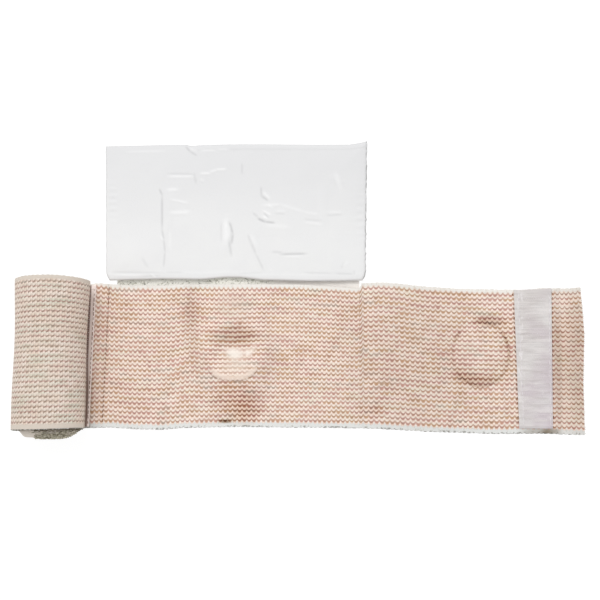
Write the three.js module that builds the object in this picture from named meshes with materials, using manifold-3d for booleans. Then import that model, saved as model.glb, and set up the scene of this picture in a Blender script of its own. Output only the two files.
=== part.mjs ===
// Trauma bandage laid open on a flat surface: an elastic knit wrap, partly unrolled, and its
// dressing pad folded out beside it. Millimetres, +Z up. +X runs along the loose wrap away from
// the roll, and +Y from the wrap towards the pad. The origin lies on the surface, under the
// middle of the whole.

import * as THREE from "three";
import { mergeVertices } from "three/addons/utils/BufferGeometryUtils.js";
import Module from "manifold-3d";

const wasm = await Module();
wasm.setup();

// Driving dimensions

const CLEAR = 0.3;
const WRAP_THICK = 1.2;
const BACKING_THICK = 1.0;
const TAPE_THICK = 1.2;

const ROLL = {
  x: -168.2, // axis at the middle of its length
  width: 51.2,
  taper: 1.9, // the back end is wider than the front end
  height: 47,
  sunk: 0.6, // how far the round form is cut off where it rests
  lean: 1.6, // the axis leans to the left by this much towards the front end
  front: -95.6, // the crown's end; the cloth's lower selvage is wound there
  back: 5.5,
  edgeRound: 1.4,
  uneven: 0.006, // the turns aren't wound quite evenly
};
// Neither end is square: both slant, and are bowed in at the sides
const ROLL_ENDS = { frontSlant: -0.75, frontBow: -0.6, backSlant: 0.4, backBow: 1.2 };
// The roll is drawn in a little here
const WAIST = { y: -33, half: 46, depth: 1.1 };
// Inner turns have slid out of the front end, less at the rim of the core than at its tip, and
// further at the right than at the left
const CORE = { slide: 6.41, tilt: 0.12, rim: 22.3, rimShift: 1.0, tip: 11.8, tipShift: -3.8 };

// Selvages of the loose wrap, from under the roll to the cut end
const WRAP_EDGES = [
  { x: -168.2, lower: -95.5, upper: 5.6 },
  { x: -144, lower: -94.1, upper: 4.8 },
  { x: -138, lower: -93.8, upper: 5.2 },
  { x: -130, lower: -93.4, upper: 3.9 },
  { x: -116, lower: -94.6, upper: 3.4 },
  { x: -95, lower: -95.1, upper: 3.3 },
  { x: -80, lower: -93.8, upper: 4.1 },
  { x: -42, lower: -93.2, upper: 4.3 },
  { x: -1, lower: -93.6, upper: 4.0 },
  { x: 39.6, lower: -94.1, upper: 1.4 },
  { x: 41.8, lower: -94.2, upper: 5.0 },
  { x: 54, lower: -94.6, upper: 5.7 },
  { x: 66, lower: -95.2, upper: 4.9 },
  { x: 86, lower: -96.4, upper: 2.6 },
  { x: 108, lower: -97.2, upper: 1.3 },
  { x: 135, lower: -98.0, upper: 0.7 },
  { x: 153, lower: -97.8, upper: 0.4 },
  { x: 165, lower: -97.8, upper: 1.7 },
  { x: 185, lower: -98.5, upper: 1.4 },
  { x: 195, lower: -98.9, upper: 2.4 },
];

// The cut end isn't quite straight
const CUT_END = [
  { across: 0, x: 193.2 },
  { across: 0.36, x: 192.9 },
  { across: 0.68, x: 194.2 },
  { across: 0.85, x: 193.2 },
  { across: 1, x: 191.9 },
];
const CUT = { x: 195, pulledFrom: 176 };

// The wrap is sewn to the backing layer along two seams, and lies on it between them
const SEAMS = { left: -138.3, leftSlant: 3.8, right: 40.4, rise: 4, fall: 3.5, billow: 0.7 };

// Round cup under the wrap. The knit is stretched over its rim, dips behind the middle,
// and falls away quickly to the sides and slowly to the two selvages.
const CUP = {
  x: -45.4,
  y: -42.2,
  radius: 19.2,
  height: 6.4,
  floor: 2.6,
  wall: 2.2,
  base: 15,
};
const DISH = {
  radius: 20,
  height: 7.2,
  sideReach: 13,
  backReach: 27,
  frontReach: 32,
  dip: 3.2,
  dipBack: 3.5,
  dipSide: 12,
  dipBackWidth: 9.7,
  dipFrontWidth: 7.3,
};

// The print of the cup that stays in the knit further along
const PRINT = { x: 122.9, y: -43.6, halfX: 19.9, halfY: 22.7, height: 2.6 };

// Main folds of the loose wrap: soft ridges, or troughs where the height is negative
const WRAP_FOLDS = [
  { x1: -94, y1: -6, x2: -95, y2: -86, half: 6, height: 0.9 },
  { x1: -78, y1: -8, x2: -80, y2: -40, half: 6, height: -0.6 },
  { x1: -61.6, y1: -23.6, x2: -72.6, y2: -42.3, half: 4, height: 0.8 },
  { x1: -29.9, y1: -23.6, x2: -23, y2: -2.8, half: 4, height: 0.8 },
  { x1: -22.3, y1: -31.2, x2: -3.7, y2: -31.2, half: 4, height: 0.7 },
  { x1: 52, y1: -20, x2: 56, y2: -88, half: 9, height: 0.7 },
  { x1: 105.8, y1: -68.6, x2: 99, y2: -92.8, half: 5, height: 1.1 },
  { x1: 136.4, y1: -67.5, x2: 136.9, y2: -95.5, half: 5, height: 1.0 },
  { x1: 88, y1: -38, x2: 101, y2: -43, half: 4.5, height: 0.8 },
  { x1: 184, y1: -10, x2: 186, y2: -90, half: 8, height: 0.6 },
];

// Outline of the dressing pad: its long edges, with the ends between them
const PAD = {
  thick: 5.8,
  edge: 4.4,
  shoulder: 24,
  foldsFrom: 7,
  under: 17, // how far the backing lifts the pad, and how softly its underside and its top come down
  underSoft: 5,
  topFrom: 8,
  topSoft: 48,
};
const PAD_EDGES = [
  { along: 0, lower: 6.9, upper: 100.6 },
  { along: 0.14, lower: 7.6, upper: 101.2 },
  { along: 0.21, lower: 7.9, upper: 101.5 },
  { along: 0.31, lower: 7.7, upper: 101.7 },
  { along: 0.33, lower: 7.6, upper: 100.8 },
  { along: 0.37, lower: 7.6, upper: 101.6 },
  { along: 0.46, lower: 9.0, upper: 102.0 },
  { along: 0.52, lower: 8.9, upper: 102.1 },
  { along: 0.6, lower: 7.3, upper: 102.1 },
  { along: 0.8, lower: 6.4, upper: 101.8 },
  { along: 0.95, lower: 6.7, upper: 102.0 },
  { along: 1, lower: 6.9, upper: 102.8 },
];
const PAD_ENDS = { leftLower: -134.0, leftUpper: -135.8, rightLower: 44.2, rightUpper: 45.7 };

const PAD_FOLDS = [
  { x1: -96.7, y1: 71, x2: -96.4, y2: 16, half: 3.5, height: -0.6 },
  { x1: -91, y1: 66, x2: -91.4, y2: 40, half: 4, height: 0.4 },
  { x1: -52, y1: 80, x2: -71, y2: 84, half: 3, height: 0.4 },
  { x1: -50.5, y1: 50, x2: -51.5, y2: 26, half: 4.5, height: 0.6 },
  { x1: -32, y1: 54, x2: -17, y2: 47, half: 3.5, height: -0.6 },
  { x1: -35.4, y1: 39, x2: -25.8, y2: 13, half: 4, height: 0.5 },
  { x1: -19.6, y1: 26, x2: 3.9, y2: 24.5, half: 3, height: -0.4 },
  { x1: 15, y1: 70, x2: 15.5, y2: 44, half: 5, height: 0.35 },
  { x1: 19.7, y1: 80, x2: 28, y2: 73, half: 4, height: 0.4 },
];

const BACKING = { leftBack: -126.5, leftFront: -131.0, right: 39.9, front: -91.5, back: 15.6 };

const END_TAPE = { leftBack: 146.2, leftFront: 148.5, rightBack: 172.0, rightFront: 171.4 };
// It ends just inside the selvages, and its back end rises towards the right with the wrap's own
const END_TAPE_INSET = { back: 0.2, backRise: 1.15, front: 3.3 };
const ROLL_TAPE = { rightBack: -141.2, rightFront: -144.8, width: 10.4, back: 3.6, front: -93.2 };

// Spacing of the mesh lines
const STEP = { wide: 8.2, cup: 3.2, print: 4.4, across: 5.4, acrossFine: 3.4 };
const ROLL_SIDES = 44;
const CUP_SIDES = 40;

// Colours of the finishes
const COLOURS = {
  knit: { color: 0xdcb8a2, roughness: 0.95, metalness: 0 },
  padding: { color: 0xf2f2f0, roughness: 0.85, metalness: 0 },
  backing: { color: 0xb2b1aa, roughness: 0.8, metalness: 0 },
  plastic: { color: 0xe9e8e2, roughness: 0.5, metalness: 0 },
  hook: { color: 0xdcd6d8, roughness: 0.8, metalness: 0 },
};

// Small maths

const clamp01 = (t) => Math.min(1, Math.max(0, t));
const smooth = (t) => clamp01(t) ** 2 * (3 - 2 * clamp01(t));
const mix = (a, b, t) => a + (b - a) * t;

function readTable(table, key, at, column) {
  const last = table.length - 1;
  let i = 0;
  while (i < last - 1 && table[i + 1][key] < at) i += 1;
  const t = clamp01((at - table[i][key]) / (table[i + 1][key] - table[i][key]));
  return mix(table[i][column], table[i + 1][column], t);
}

// Height that a list of soft ridges and troughs adds at a point
function foldHeight(folds, x, y) {
  let height = 0;
  for (const fold of folds) {
    const dx = fold.x2 - fold.x1;
    const dy = fold.y2 - fold.y1;
    const t = clamp01(((x - fold.x1) * dx + (y - fold.y1) * dy) / (dx * dx + dy * dy));
    const away = Math.hypot(x - fold.x1 - t * dx, y - fold.y1 - t * dy);
    height += fold.height * smooth(1 - away / fold.half);
  }
  return height;
}

// Mesh lines from start to end, closer together inside the given bands
function stations(start, end, step, bands) {
  const list = [start];
  let at = start;
  while (at < end) {
    const band = bands.find((b) => at >= b.from - 0.01 && at < b.to);
    const stops = bands.map((b) => b.from).filter((from) => from > at + 0.01);
    const limit = band ? band.to : Math.min(end, ...stops);
    const size = band ? band.step : step;
    const count = Math.max(1, Math.round((limit - at) / size));
    for (let i = 1; i <= count; i += 1) list.push(mix(at, limit, i / count));
    at = limit;
  }
  return list;
}

// Solids

function toGeometry(positions, triangles) {
  const geometry = new THREE.BufferGeometry();
  geometry.setAttribute("position", new THREE.Float32BufferAttribute(positions, 3));
  geometry.setIndex(triangles);
  return geometry;
}

// Closed solid over a grid: place(u, v) gives x, y and the heights of its underside and top
function sheetSolid(us, vs, place) {
  const positions = [];
  const triangles = [];
  const columns = vs.length;
  const layer = us.length * columns;
  const cells = us.flatMap((u) => vs.map((v) => place(u, v)));
  for (const cell of cells) positions.push(cell.x, cell.y, cell.top);
  for (const cell of cells) positions.push(cell.x, cell.y, cell.bottom);
  const quad = (a, b, c, d) => triangles.push(a, b, c, a, c, d);
  for (let i = 0; i < us.length - 1; i += 1) {
    for (let j = 0; j < columns - 1; j += 1) {
      const a = i * columns + j;
      const b = a + columns;
      quad(a, b, b + 1, a + 1);
      quad(layer + a, layer + a + 1, layer + b + 1, layer + b);
    }
    const first = i * columns;
    const last = first + columns - 1;
    quad(first, layer + first, layer + first + columns, first + columns);
    quad(last + columns, layer + last + columns, layer + last, last);
  }
  for (let j = 0; j < columns - 1; j += 1) {
    const end = (us.length - 1) * columns + j;
    quad(j + 1, layer + j + 1, layer + j, j);
    quad(end, layer + end, layer + end + 1, end + 1);
  }
  return toGeometry(positions, triangles);
}

// Closed solid through rings of points, with a fan at each end
function ringSolid(rings, startPoint, endPoint) {
  const positions = rings.flat(2);
  const triangles = [];
  const sides = rings[0].length;
  const startIndex = rings.length * sides;
  positions.push(...startPoint, ...endPoint);
  for (let s = 0; s < sides; s += 1) {
    const next = (s + 1) % sides;
    for (let i = 0; i < rings.length - 1; i += 1) {
      const a = i * sides;
      const b = a + sides;
      triangles.push(a + s, b + s, b + next, a + s, b + next, a + next);
    }
    const end = (rings.length - 1) * sides;
    triangles.push(startIndex, s, next, startIndex + 1, end + next, end + s);
  }
  return toGeometry(positions, triangles);
}

function toManifold(geometry) {
  const merged = mergeVertices(geometry, 1e-4);
  return new wasm.Manifold(new wasm.Mesh({
    numProp: 3,
    vertProperties: new Float32Array(merged.attributes.position.array),
    triVerts: new Uint32Array(merged.index.array),
  }));
}

function fromManifold(solid) {
  const mesh = solid.getMesh();
  return toGeometry(Array.from(mesh.vertProperties), Array.from(mesh.triVerts));
}

// The wrap's lie: height of its underside at a point

function dishRise(x, y) {
  const dx = x - CUP.x;
  const dy = y - CUP.y;
  const away = Math.hypot(dx, dy);
  if (away > DISH.radius) {
    const lengthwise = (Math.abs(dy) / away) ** 4;
    const reach = mix(DISH.sideReach, dy > 0 ? DISH.backReach : DISH.frontReach, lengthwise);
    const t = clamp01(1 - (away - DISH.radius) / reach);
    return DISH.height * t * t * (2 - t);
  }
  const width = dy > DISH.dipBack ? DISH.dipBackWidth : DISH.dipFrontWidth;
  const spread = ((dy - DISH.dipBack) / width) ** 2 + (dx / DISH.dipSide) ** 2;
  const held = 1 - (away / DISH.radius) ** 4;
  return DISH.height - DISH.dip * Math.exp(-spread) * held;
}

function printRise(x, y) {
  const away = Math.hypot((x - PRINT.x) / PRINT.halfX, (y - PRINT.y) / PRINT.halfY);
  return PRINT.height * (1 - clamp01(away) ** 3);
}

function wrapUnderside(x, y) {
  const leftSeam = SEAMS.left + SEAMS.leftSlant * clamp01(1 + y / 100);
  const held = smooth((x - leftSeam) / SEAMS.rise) * (1 - smooth((x - SEAMS.right) / SEAMS.fall));
  const backed = held * (BACKING_THICK + CLEAR);
  const billow = held * SEAMS.billow * smooth((x - leftSeam) / 14) * smooth((SEAMS.right - x) / 10);
  const folds = foldHeight(WRAP_FOLDS, x, y);
  return Math.max(backed, backed + billow + folds) + held * dishRise(x, y) + printRise(x, y);
}

function wrapPoint(x, across) {
  const lower = readTable(WRAP_EDGES, "x", x, "lower");
  const upper = readTable(WRAP_EDGES, "x", x, "upper");
  return mix(lower, upper, across);
}

// Pieces

// One ring of the roll, as wide as the roll there or of a given radius, moved along by its end's form
// and, in the core, by the share of the full slide that its turns have made
function rollRing(y, { radius = null, shift = 0, slant = 0, bow = 0, slid = 0 }) {
  const fromMiddle = (y - (ROLL.front + ROLL.back) / 2) / (ROLL.back - ROLL.front);
  const waist = WAIST.depth * smooth(1 - Math.abs(y - WAIST.y) / WAIST.half);
  const halfWidth = ROLL.width / 2 + ROLL.taper * fromMiddle * 0.5 - waist;
  const halfHeight = (ROLL.height + ROLL.sunk) / 2;
  const centre = ROLL.height - halfHeight;
  const ratio = radius === null ? 1 : radius / halfWidth;
  const points = [];
  for (let s = 0; s < ROLL_SIDES; s += 1) {
    const angle = (s / ROLL_SIDES) * 2 * Math.PI;
    const cosine = Math.cos(angle);
    const swell = ratio * (1 + ROLL.uneven * Math.sin(angle) ** 2 * Math.sin(3 * angle + y / 17));
    const x = ROLL.x + ROLL.lean * fromMiddle + shift + swell * halfWidth * cosine;
    const z = centre + swell * halfHeight * Math.sin(angle);
    const formed = ratio * (slant * cosine + bow * cosine * cosine);
    const moved = slid * (CORE.slide + CORE.tilt * ratio * halfWidth * cosine);
    points.push([x, y - formed - moved, Math.max(0, z)]);
  }
  return points;
}

// The wound form: outer turns, and a core that has slid towards the front
function rollSolid() {
  const { front, back, edgeRound } = ROLL;
  const frontForm = { slant: ROLL_ENDS.frontSlant, bow: ROLL_ENDS.frontBow };
  const backForm = { slant: ROLL_ENDS.backSlant, bow: ROLL_ENDS.backBow };
  const { slide, rim, rimShift, tip, tipShift } = CORE;
  const outermost = { radius: ROLL.width / 2 - 0.8 };
  const coreRim = { radius: rim, shift: rimShift };
  const halfway = { radius: (rim + tip) / 2, shift: (rimShift + tipShift) / 2, slid: 0.5 };
  const coreTip = { radius: tip, shift: tipShift, slid: 1 };
  const middle = { radius: tip / 2, shift: tipShift, slid: 1 };
  const rings = [
    rollRing(front, { ...frontForm, ...middle }),
    rollRing(front, { ...frontForm, ...coreTip }),
    rollRing(front, { ...frontForm, ...halfway }),
    rollRing(front, { ...frontForm, ...coreRim }),
    rollRing(front, { ...frontForm, ...outermost }),
    rollRing(front + edgeRound, frontForm),
  ];
  const lengths = 9;
  for (let i = 1; i <= lengths; i += 1) {
    const t = i / lengths;
    const slant = mix(frontForm.slant, backForm.slant, t);
    const bow = mix(frontForm.bow, backForm.bow, t);
    rings.push(rollRing(mix(front + edgeRound, back - edgeRound, t), { slant, bow }));
  }
  for (const ring of [outermost, coreRim, halfway, coreTip, middle]) {
    rings.push(rollRing(back, { ...backForm, ...ring }));
  }
  const centreZ = ROLL.height - (ROLL.height + ROLL.sunk) / 2;
  const start = [ROLL.x - ROLL.lean / 2 + tipShift, front - slide, centreZ];
  const end = [ROLL.x + ROLL.lean / 2 + tipShift, back - slide, centreZ];
  return ringSolid(rings, start, end);
}

function looseWrapSolid() {
  const xs = stations(ROLL.x, CUT.x, STEP.wide, [
    { from: -139.5, to: -129.5, step: 2 },
    { from: CUP.x - 33, to: CUP.x + 33, step: STEP.cup },
    { from: 38.6, to: 44, step: 1.8 },
    { from: PRINT.x - 22, to: PRINT.x + 22, step: STEP.print },
  ]);
  const lower = readTable(WRAP_EDGES, "x", CUP.x, "lower");
  const width = readTable(WRAP_EDGES, "x", CUP.x, "upper") - lower;
  const acrossOf = (y) => (y - lower) / width;
  const vs = stations(0, 1, STEP.across / width, [
    { from: acrossOf(CUP.y - 24), to: acrossOf(CUP.y + 24), step: STEP.acrossFine / width },
  ]);
  return sheetSolid(xs, vs, (u, v) => {
    const pulled = readTable(CUT_END, "across", v, "x") - CUT.x;
    const x = u + pulled * clamp01((u - CUT.pulledFrom) / (CUT.x - CUT.pulledFrom));
    const y = wrapPoint(u, v);
    const bottom = wrapUnderside(x, y);
    return { x, y, bottom, top: bottom + WRAP_THICK };
  });
}

function elasticWrap() {
  const roll = toManifold(rollSolid());
  const loose = toManifold(looseWrapSolid());
  return fromManifold(roll.add(loose));
}

// A filled pad with square edges and a low crown, lifted a little where the backing runs under it
function dressingPad() {
  const us = stations(0, 1, 0.042, [
    { from: 0, to: 0.06, step: 0.02 },
    { from: 0.94, to: 1, step: 0.02 },
  ]);
  const vs = stations(0, 1, 0.058, [
    { from: 0, to: 0.12, step: 0.04 },
    { from: 0.88, to: 1, step: 0.04 },
  ]);
  return sheetSolid(us, vs, (u, v) => {
    const left = mix(PAD_ENDS.leftLower, PAD_ENDS.leftUpper, v);
    const right = mix(PAD_ENDS.rightLower, PAD_ENDS.rightUpper, v);
    const x = mix(left, right, u);
    const y = mix(readTable(PAD_EDGES, "along", u, "lower"), readTable(PAD_EDGES, "along", u, "upper"), v);
    const inset = Math.min(x - left, right - x, (1 - v) * 92, v * 92);
    const crown = PAD.edge + (PAD.thick - PAD.edge) * Math.sin((Math.PI / 2) * clamp01(inset / PAD.shoulder));
    const lift = BACKING_THICK + CLEAR;
    const lifted = lift * (1 - smooth((y - PAD.under) / PAD.underSoft));
    const liftedTop = lift * (1 - smooth((y - PAD.topFrom) / PAD.topSoft));
    const folds = foldHeight(PAD_FOLDS, x, y) * clamp01(inset / PAD.foldsFrom);
    return { x, y, bottom: lifted, top: liftedTop + crown + folds };
  });
}

function backingLayer() {
  const us = stations(0, 1, 0.05, []);
  const vs = stations(0, 1, 0.2, []);
  return sheetSolid(us, vs, (u, v) => ({
    x: mix(mix(BACKING.leftFront, BACKING.leftBack, v), BACKING.right, u),
    y: mix(BACKING.front, BACKING.back, v),
    bottom: 0,
    top: BACKING_THICK,
  }));
}

function pressureCup() {
  const { radius, height, floor, wall, base } = CUP;
  const profile = [
    [0, 0],
    [base, 0],
    [radius - 0.6, 1.2],
    [radius, height * 0.6],
    [radius - 0.5, height - 0.5],
    [radius - wall * 0.6, height],
    [radius - wall, height - 0.7],
    [radius - wall - 3.2, floor],
    [0, floor],
  ];
  const outline = profile.map(([r, z]) => new THREE.Vector2(r, z));
  const cup = new THREE.LatheGeometry(outline, CUP_SIDES);
  cup.deleteAttribute("normal");
  cup.deleteAttribute("uv");
  cup.rotateX(Math.PI / 2);
  return fromManifold(toManifold(cup));
}

// Tape across the wrap, a little above it
function tape(leftAt, rightAt, front, backAt) {
  const us = stations(0, 1, 0.2, []);
  const vs = stations(0, 1, 0.0556, []);
  return sheetSolid(us, vs, (u, v) => {
    const x = mix(leftAt(v), rightAt(v), u);
    const y = mix(front, backAt(u), v);
    const bottom = wrapUnderside(x, y) + WRAP_THICK + CLEAR;
    return { x, y, bottom, top: bottom + TAPE_THICK };
  });
}

function endHookTape() {
  const { leftBack, leftFront, rightBack, rightFront } = END_TAPE;
  const back = readTable(WRAP_EDGES, "x", leftBack, "upper") - END_TAPE_INSET.back;
  const backAt = (u) => back + END_TAPE_INSET.backRise * u;
  const front = readTable(WRAP_EDGES, "x", leftBack, "lower") + END_TAPE_INSET.front;
  return tape((v) => mix(leftFront, leftBack, v), (v) => mix(rightFront, rightBack, v), front, backAt);
}

function rollHookTape() {
  const rightAt = (v) => mix(ROLL_TAPE.rightFront, ROLL_TAPE.rightBack, v);
  return tape((v) => rightAt(v) - ROLL_TAPE.width, rightAt, ROLL_TAPE.front, () => ROLL_TAPE.back);
}

// The whole

const bandage = new THREE.Group();

function add(name, geometry, finish) {
  const mesh = new THREE.Mesh(geometry, new THREE.MeshStandardMaterial(COLOURS[finish]));
  mesh.name = name;
  bandage.add(mesh);
  return mesh;
}

add("elastic_wrap", elasticWrap(), "knit");
add("dressing_pad", dressingPad(), "padding");
add("backing_layer", backingLayer(), "backing");
add("pressure_cup", pressureCup(), "plastic").position.set(CUP.x, CUP.y, BACKING_THICK + CLEAR);
add("end_hook_tape", endHookTape(), "hook");
add("roll_hook_tape", rollHookTape(), "hook");

export default bandage;
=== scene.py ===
# Trauma bandage laid open on a pale surface: an elastic knit wrap that runs out from under its
# roll, hook tapes sewn across it, a round cup pressed up through it, and a white dressing pad
# beside it. Lengths are in millimetres and become metres where a mesh is made. +X runs along the
# loose wrap away from the roll, +Y from the wrap towards the pad, +Z up.

import math
from collections import namedtuple
from types import SimpleNamespace

import bpy
import numpy as np
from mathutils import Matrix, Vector


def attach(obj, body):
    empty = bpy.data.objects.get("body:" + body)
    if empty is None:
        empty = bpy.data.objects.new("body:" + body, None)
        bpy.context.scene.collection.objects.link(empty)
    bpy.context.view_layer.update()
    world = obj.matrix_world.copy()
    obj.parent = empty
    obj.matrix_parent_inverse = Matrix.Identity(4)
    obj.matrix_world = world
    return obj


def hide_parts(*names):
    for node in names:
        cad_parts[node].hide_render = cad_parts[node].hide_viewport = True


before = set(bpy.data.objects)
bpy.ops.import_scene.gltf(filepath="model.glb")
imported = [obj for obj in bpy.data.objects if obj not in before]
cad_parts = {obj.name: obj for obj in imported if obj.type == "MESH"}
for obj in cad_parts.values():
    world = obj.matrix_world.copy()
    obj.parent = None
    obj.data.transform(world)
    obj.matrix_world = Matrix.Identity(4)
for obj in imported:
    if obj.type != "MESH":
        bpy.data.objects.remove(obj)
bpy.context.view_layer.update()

MM = 0.001

# Sizes of the construction. They are the solids' own, but the roll's core, the pad's far corner
# and its folds are shaped more finely here.

CLEAR = 0.3
WRAP_THICK = 1.2
BACKING_THICK = 1.0
TAPE_THICK = 1.2

ROLL = SimpleNamespace(
    x=-168.2, width=51.2, taper=1.9, height=47.0, sunk=0.6, lean=1.6, front=-95.6, back=5.5,
    uneven=0.006, pitch=1.3, turns=17.6, lean_over=20.0,
)
ROLL_ENDS = SimpleNamespace(front_slant=-0.75, front_bow=-0.6, back_slant=0.4, back_bow=1.2)
WAIST = SimpleNamespace(y=-33, half=46, depth=1.1)
CORE = SimpleNamespace(slide=5.5, tilt=0.03, rim=21.2, rim_shift=1.6, tip=12.0, tip_shift=-2.6)

Edge = namedtuple("Edge", "x lower upper")
WRAP_EDGES = [
    Edge(-168.2, -95.5, 5.6),
    Edge(-144, -94.1, 4.8),
    Edge(-138, -93.8, 5.2),
    Edge(-130, -93.4, 3.9),
    Edge(-116, -94.6, 3.4),
    Edge(-95, -95.1, 3.3),
    Edge(-80, -93.8, 4.1),
    Edge(-42, -93.2, 4.3),
    Edge(-1, -93.6, 4.0),
    Edge(39.6, -94.1, 1.4),
    Edge(41.8, -94.2, 5.0),
    Edge(54, -94.6, 5.7),
    Edge(66, -95.2, 4.9),
    Edge(86, -96.4, 2.6),
    Edge(108, -97.2, 1.3),
    Edge(135, -98.0, 0.7),
    Edge(153, -97.8, 0.4),
    Edge(165, -97.8, 1.7),
    Edge(185, -98.5, 1.4),
    Edge(195, -98.9, 2.4),
]

CutEnd = namedtuple("CutEnd", "across x")
CUT_END = [
    CutEnd(0, 193.2),
    CutEnd(0.36, 192.9),
    CutEnd(0.68, 194.2),
    CutEnd(0.85, 193.2),
    CutEnd(1, 191.9),
]
CUT = SimpleNamespace(x=195.0, pulled_from=176.0)

SEAMS = SimpleNamespace(
    left=-138.3, left_slant=3.8, slant_over=100.0, right=40.4, rise=4.0, fall=3.5, billow=0.7,
    billow_left=14.0, billow_right=10.0,
)
CUP = SimpleNamespace(x=-45.4, y=-42.2)
DISH = SimpleNamespace(
    radius=20.0, height=7.2, side_reach=13.0, back_reach=27.0, front_reach=32.0, dip=3.2,
    dip_back=3.5, dip_side=12.0, dip_back_width=9.7, dip_front_width=7.3,
)
PRINT = SimpleNamespace(x=122.9, y=-43.6, half_x=19.9, half_y=22.7, height=2.6)

# Soft ridges, or troughs where the height is negative, each along one line
Fold = namedtuple("Fold", "x1 y1 x2 y2 half height")
WRAP_FOLDS = [
    Fold(-94, -6, -95, -86, 6, 0.9),
    Fold(-78, -8, -80, -40, 6, -0.6),
    Fold(-61.6, -23.6, -72.6, -42.3, 4, 0.8),
    Fold(-29.9, -23.6, -23, -2.8, 4, 0.8),
    Fold(-22.3, -31.2, -3.7, -31.2, 4, 0.7),
    Fold(52, -20, 56, -88, 9, 0.7),
    Fold(105.8, -68.6, 99, -92.8, 5, 1.1),
    Fold(136.4, -67.5, 136.9, -95.5, 5, 1.0),
    Fold(88, -38, 101, -43, 4.5, 0.8),
    Fold(184, -10, 186, -90, 8, 0.6),
]

PAD = SimpleNamespace(
    thick=5.8, edge=4.4, shoulder=24.0, folds_from=7.0, under=17.0, under_soft=5.0, top_from=8.0,
    top_soft=48.0, left_lower=-134.0, left_upper=-135.8, right_lower=44.2, right_upper=45.7,
)
PadEdge = namedtuple("PadEdge", "along lower upper")
PAD_EDGES = [
    PadEdge(0, 6.9, 100.6),
    PadEdge(0.14, 7.6, 101.2),
    PadEdge(0.21, 7.9, 101.5),
    PadEdge(0.31, 7.7, 101.7),
    PadEdge(0.33, 7.6, 100.8),
    PadEdge(0.37, 7.6, 101.6),
    PadEdge(0.46, 9.0, 102.0),
    PadEdge(0.52, 8.9, 102.1),
    PadEdge(0.6, 7.3, 102.1),
    PadEdge(0.8, 6.4, 101.8),
    PadEdge(0.93, 6.6, 101.9),
    PadEdge(0.97, 6.8, 103.0),
    PadEdge(1, 6.9, 104.2),
]
PAD_FOLDS = [
    Fold(-91, 66, -91.4, 40, 4, 0.35),
    Fold(-50.5, 50, -51.5, 26, 4.5, 0.55),
    Fold(-35.4, 39, -25.8, 13, 4, 0.5),
    Fold(15, 70, 15.5, 44, 5, 0.3),
    Fold(19.7, 80, 28, 73, 4, 0.4),
]

BACKING = SimpleNamespace(left_back=-126.5, left_front=-131.0, right=39.9, front=-91.5, back=15.6)
END_TAPE = SimpleNamespace(
    left_back=146.2, left_front=148.5, right_back=172.0, right_front=171.4, inset_back=0.2,
    back_rise=1.15, inset_front=3.3,
)
ROLL_TAPE = SimpleNamespace(
    right_back=-141.2, right_front=-144.8, width=10.4, back=3.6, front=-93.2, roll_side=22.65,
)

# Sizes that only show close by

KNIT = SimpleNamespace(
    width=102.0, rows=29, first_row=4.6, pitch=3.343, wave=3.27, swing=0.38, swing_back=0.2,
    phase=0.35, worn_from=24.0, worn_full=16.0,
)
# Soft lumps of the loose wrap, from where it is clear of the roll
LUMPS = SimpleNamespace(start=-130.0, soft=20.0, height=0.25, size=17.0)
# The step in the knit over the cup's hard front rim: its height, how softly it fades away behind,
# and, in shares of the rim's oval, where it starts and ends
LIP = SimpleNamespace(height=0.9, fade=5.0, start=0.6, rise=0.35, edge=1.04, fall=0.07)

# Steps between mesh lines, and numbers of mesh lines
STEP = SimpleNamespace(wrap=1.3, seam=0.6, before_seam=2.5, past_seam=4.5, pad=0.66)
LINES = SimpleNamespace(wrap=97, wound=17, backing_x=121, backing_y=65, tape_x=25, tape_y=241)
# How finely the cloth is wound: steps in a turn, for the outer turns and then inwards
WINDING = SimpleNamespace(start=0.012, outer=72, outer_turns=2.5, next=60, fewer=1.8, least=28)

# Creases of the loose wrap beside its main folds
WRAP_CREASES = [
    Fold(-70.5, -4, -69.0, -92, 2.2, 0.4),
    Fold(40.6, -94, 40.6, 4, 1.6, -0.15),
    Fold(88, -36, 101, -43, 3.0, 0.5),
    Fold(133, -20, 142, -27, 4.0, -0.5),
    Fold(-112, -30, -118, -78, 7.0, 0.4),
    Fold(10, -60, 22, -88, 7.0, 0.4),
    Fold(-20, -60, -8, -84, 6.0, -0.4),
]

# How rough the pad's ends are, how deep its creases are made, how its edges are rounded, and how
# far in from them its creases and lumps begin
PAD_FINE = SimpleNamespace(
    length=180.0, width=94.0, corner=2.4, corner_reach=6.0, right_rough=0.25, right_size=1.7,
    left_rough=0.15, left_size=3.1, trough=0.62, ridge=0.85, edge_radius=0.8, under_radius=0.9,
    edge_drop=1.2, end_radius=2.2, end_drop=1.8, ends_from=0.5, creases_from=1.5, lumps_from=6.0,
)
# Soft lumps of the pad: two sizes, each with its height
PAD_LUMPS = SimpleNamespace(wide=23.0, wide_height=0.45, narrow=9.0, narrow_height=0.15)
# Shade on the pad's right end, where it is pinched, on its far and left edges, and underneath
PAD_SHADE = SimpleNamespace(
    end=0.85, end_width=1.1, pinched=0.7, pinches=0.8, pinch_size=1.8, edges=0.3, edges_width=0.9,
    under=0.35,
)

# Short gathers along the pad's two ends
Gather = namedtuple("Gather", "x half_x y half_y wave")
PAD_GATHERS = [
    Gather(-130.5, 5.0, 62, 20, 4.6),
    Gather(40.5, 4.5, 50, 24, 5.4),
]
GATHER_HEIGHT = 0.2

# Bands where the pad's cover is folded in, by their width and their height: the far one begins
# along the edge with a slanted end, and the near one is wavy
PAD_HEMS = SimpleNamespace(
    far=4.2, far_height=0.3, far_from=-80.0, slant=0.8, far_soft=4.0, near=4.6, near_height=0.25,
    swing=0.6, wave=21.0, soft=0.9,
)

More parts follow.
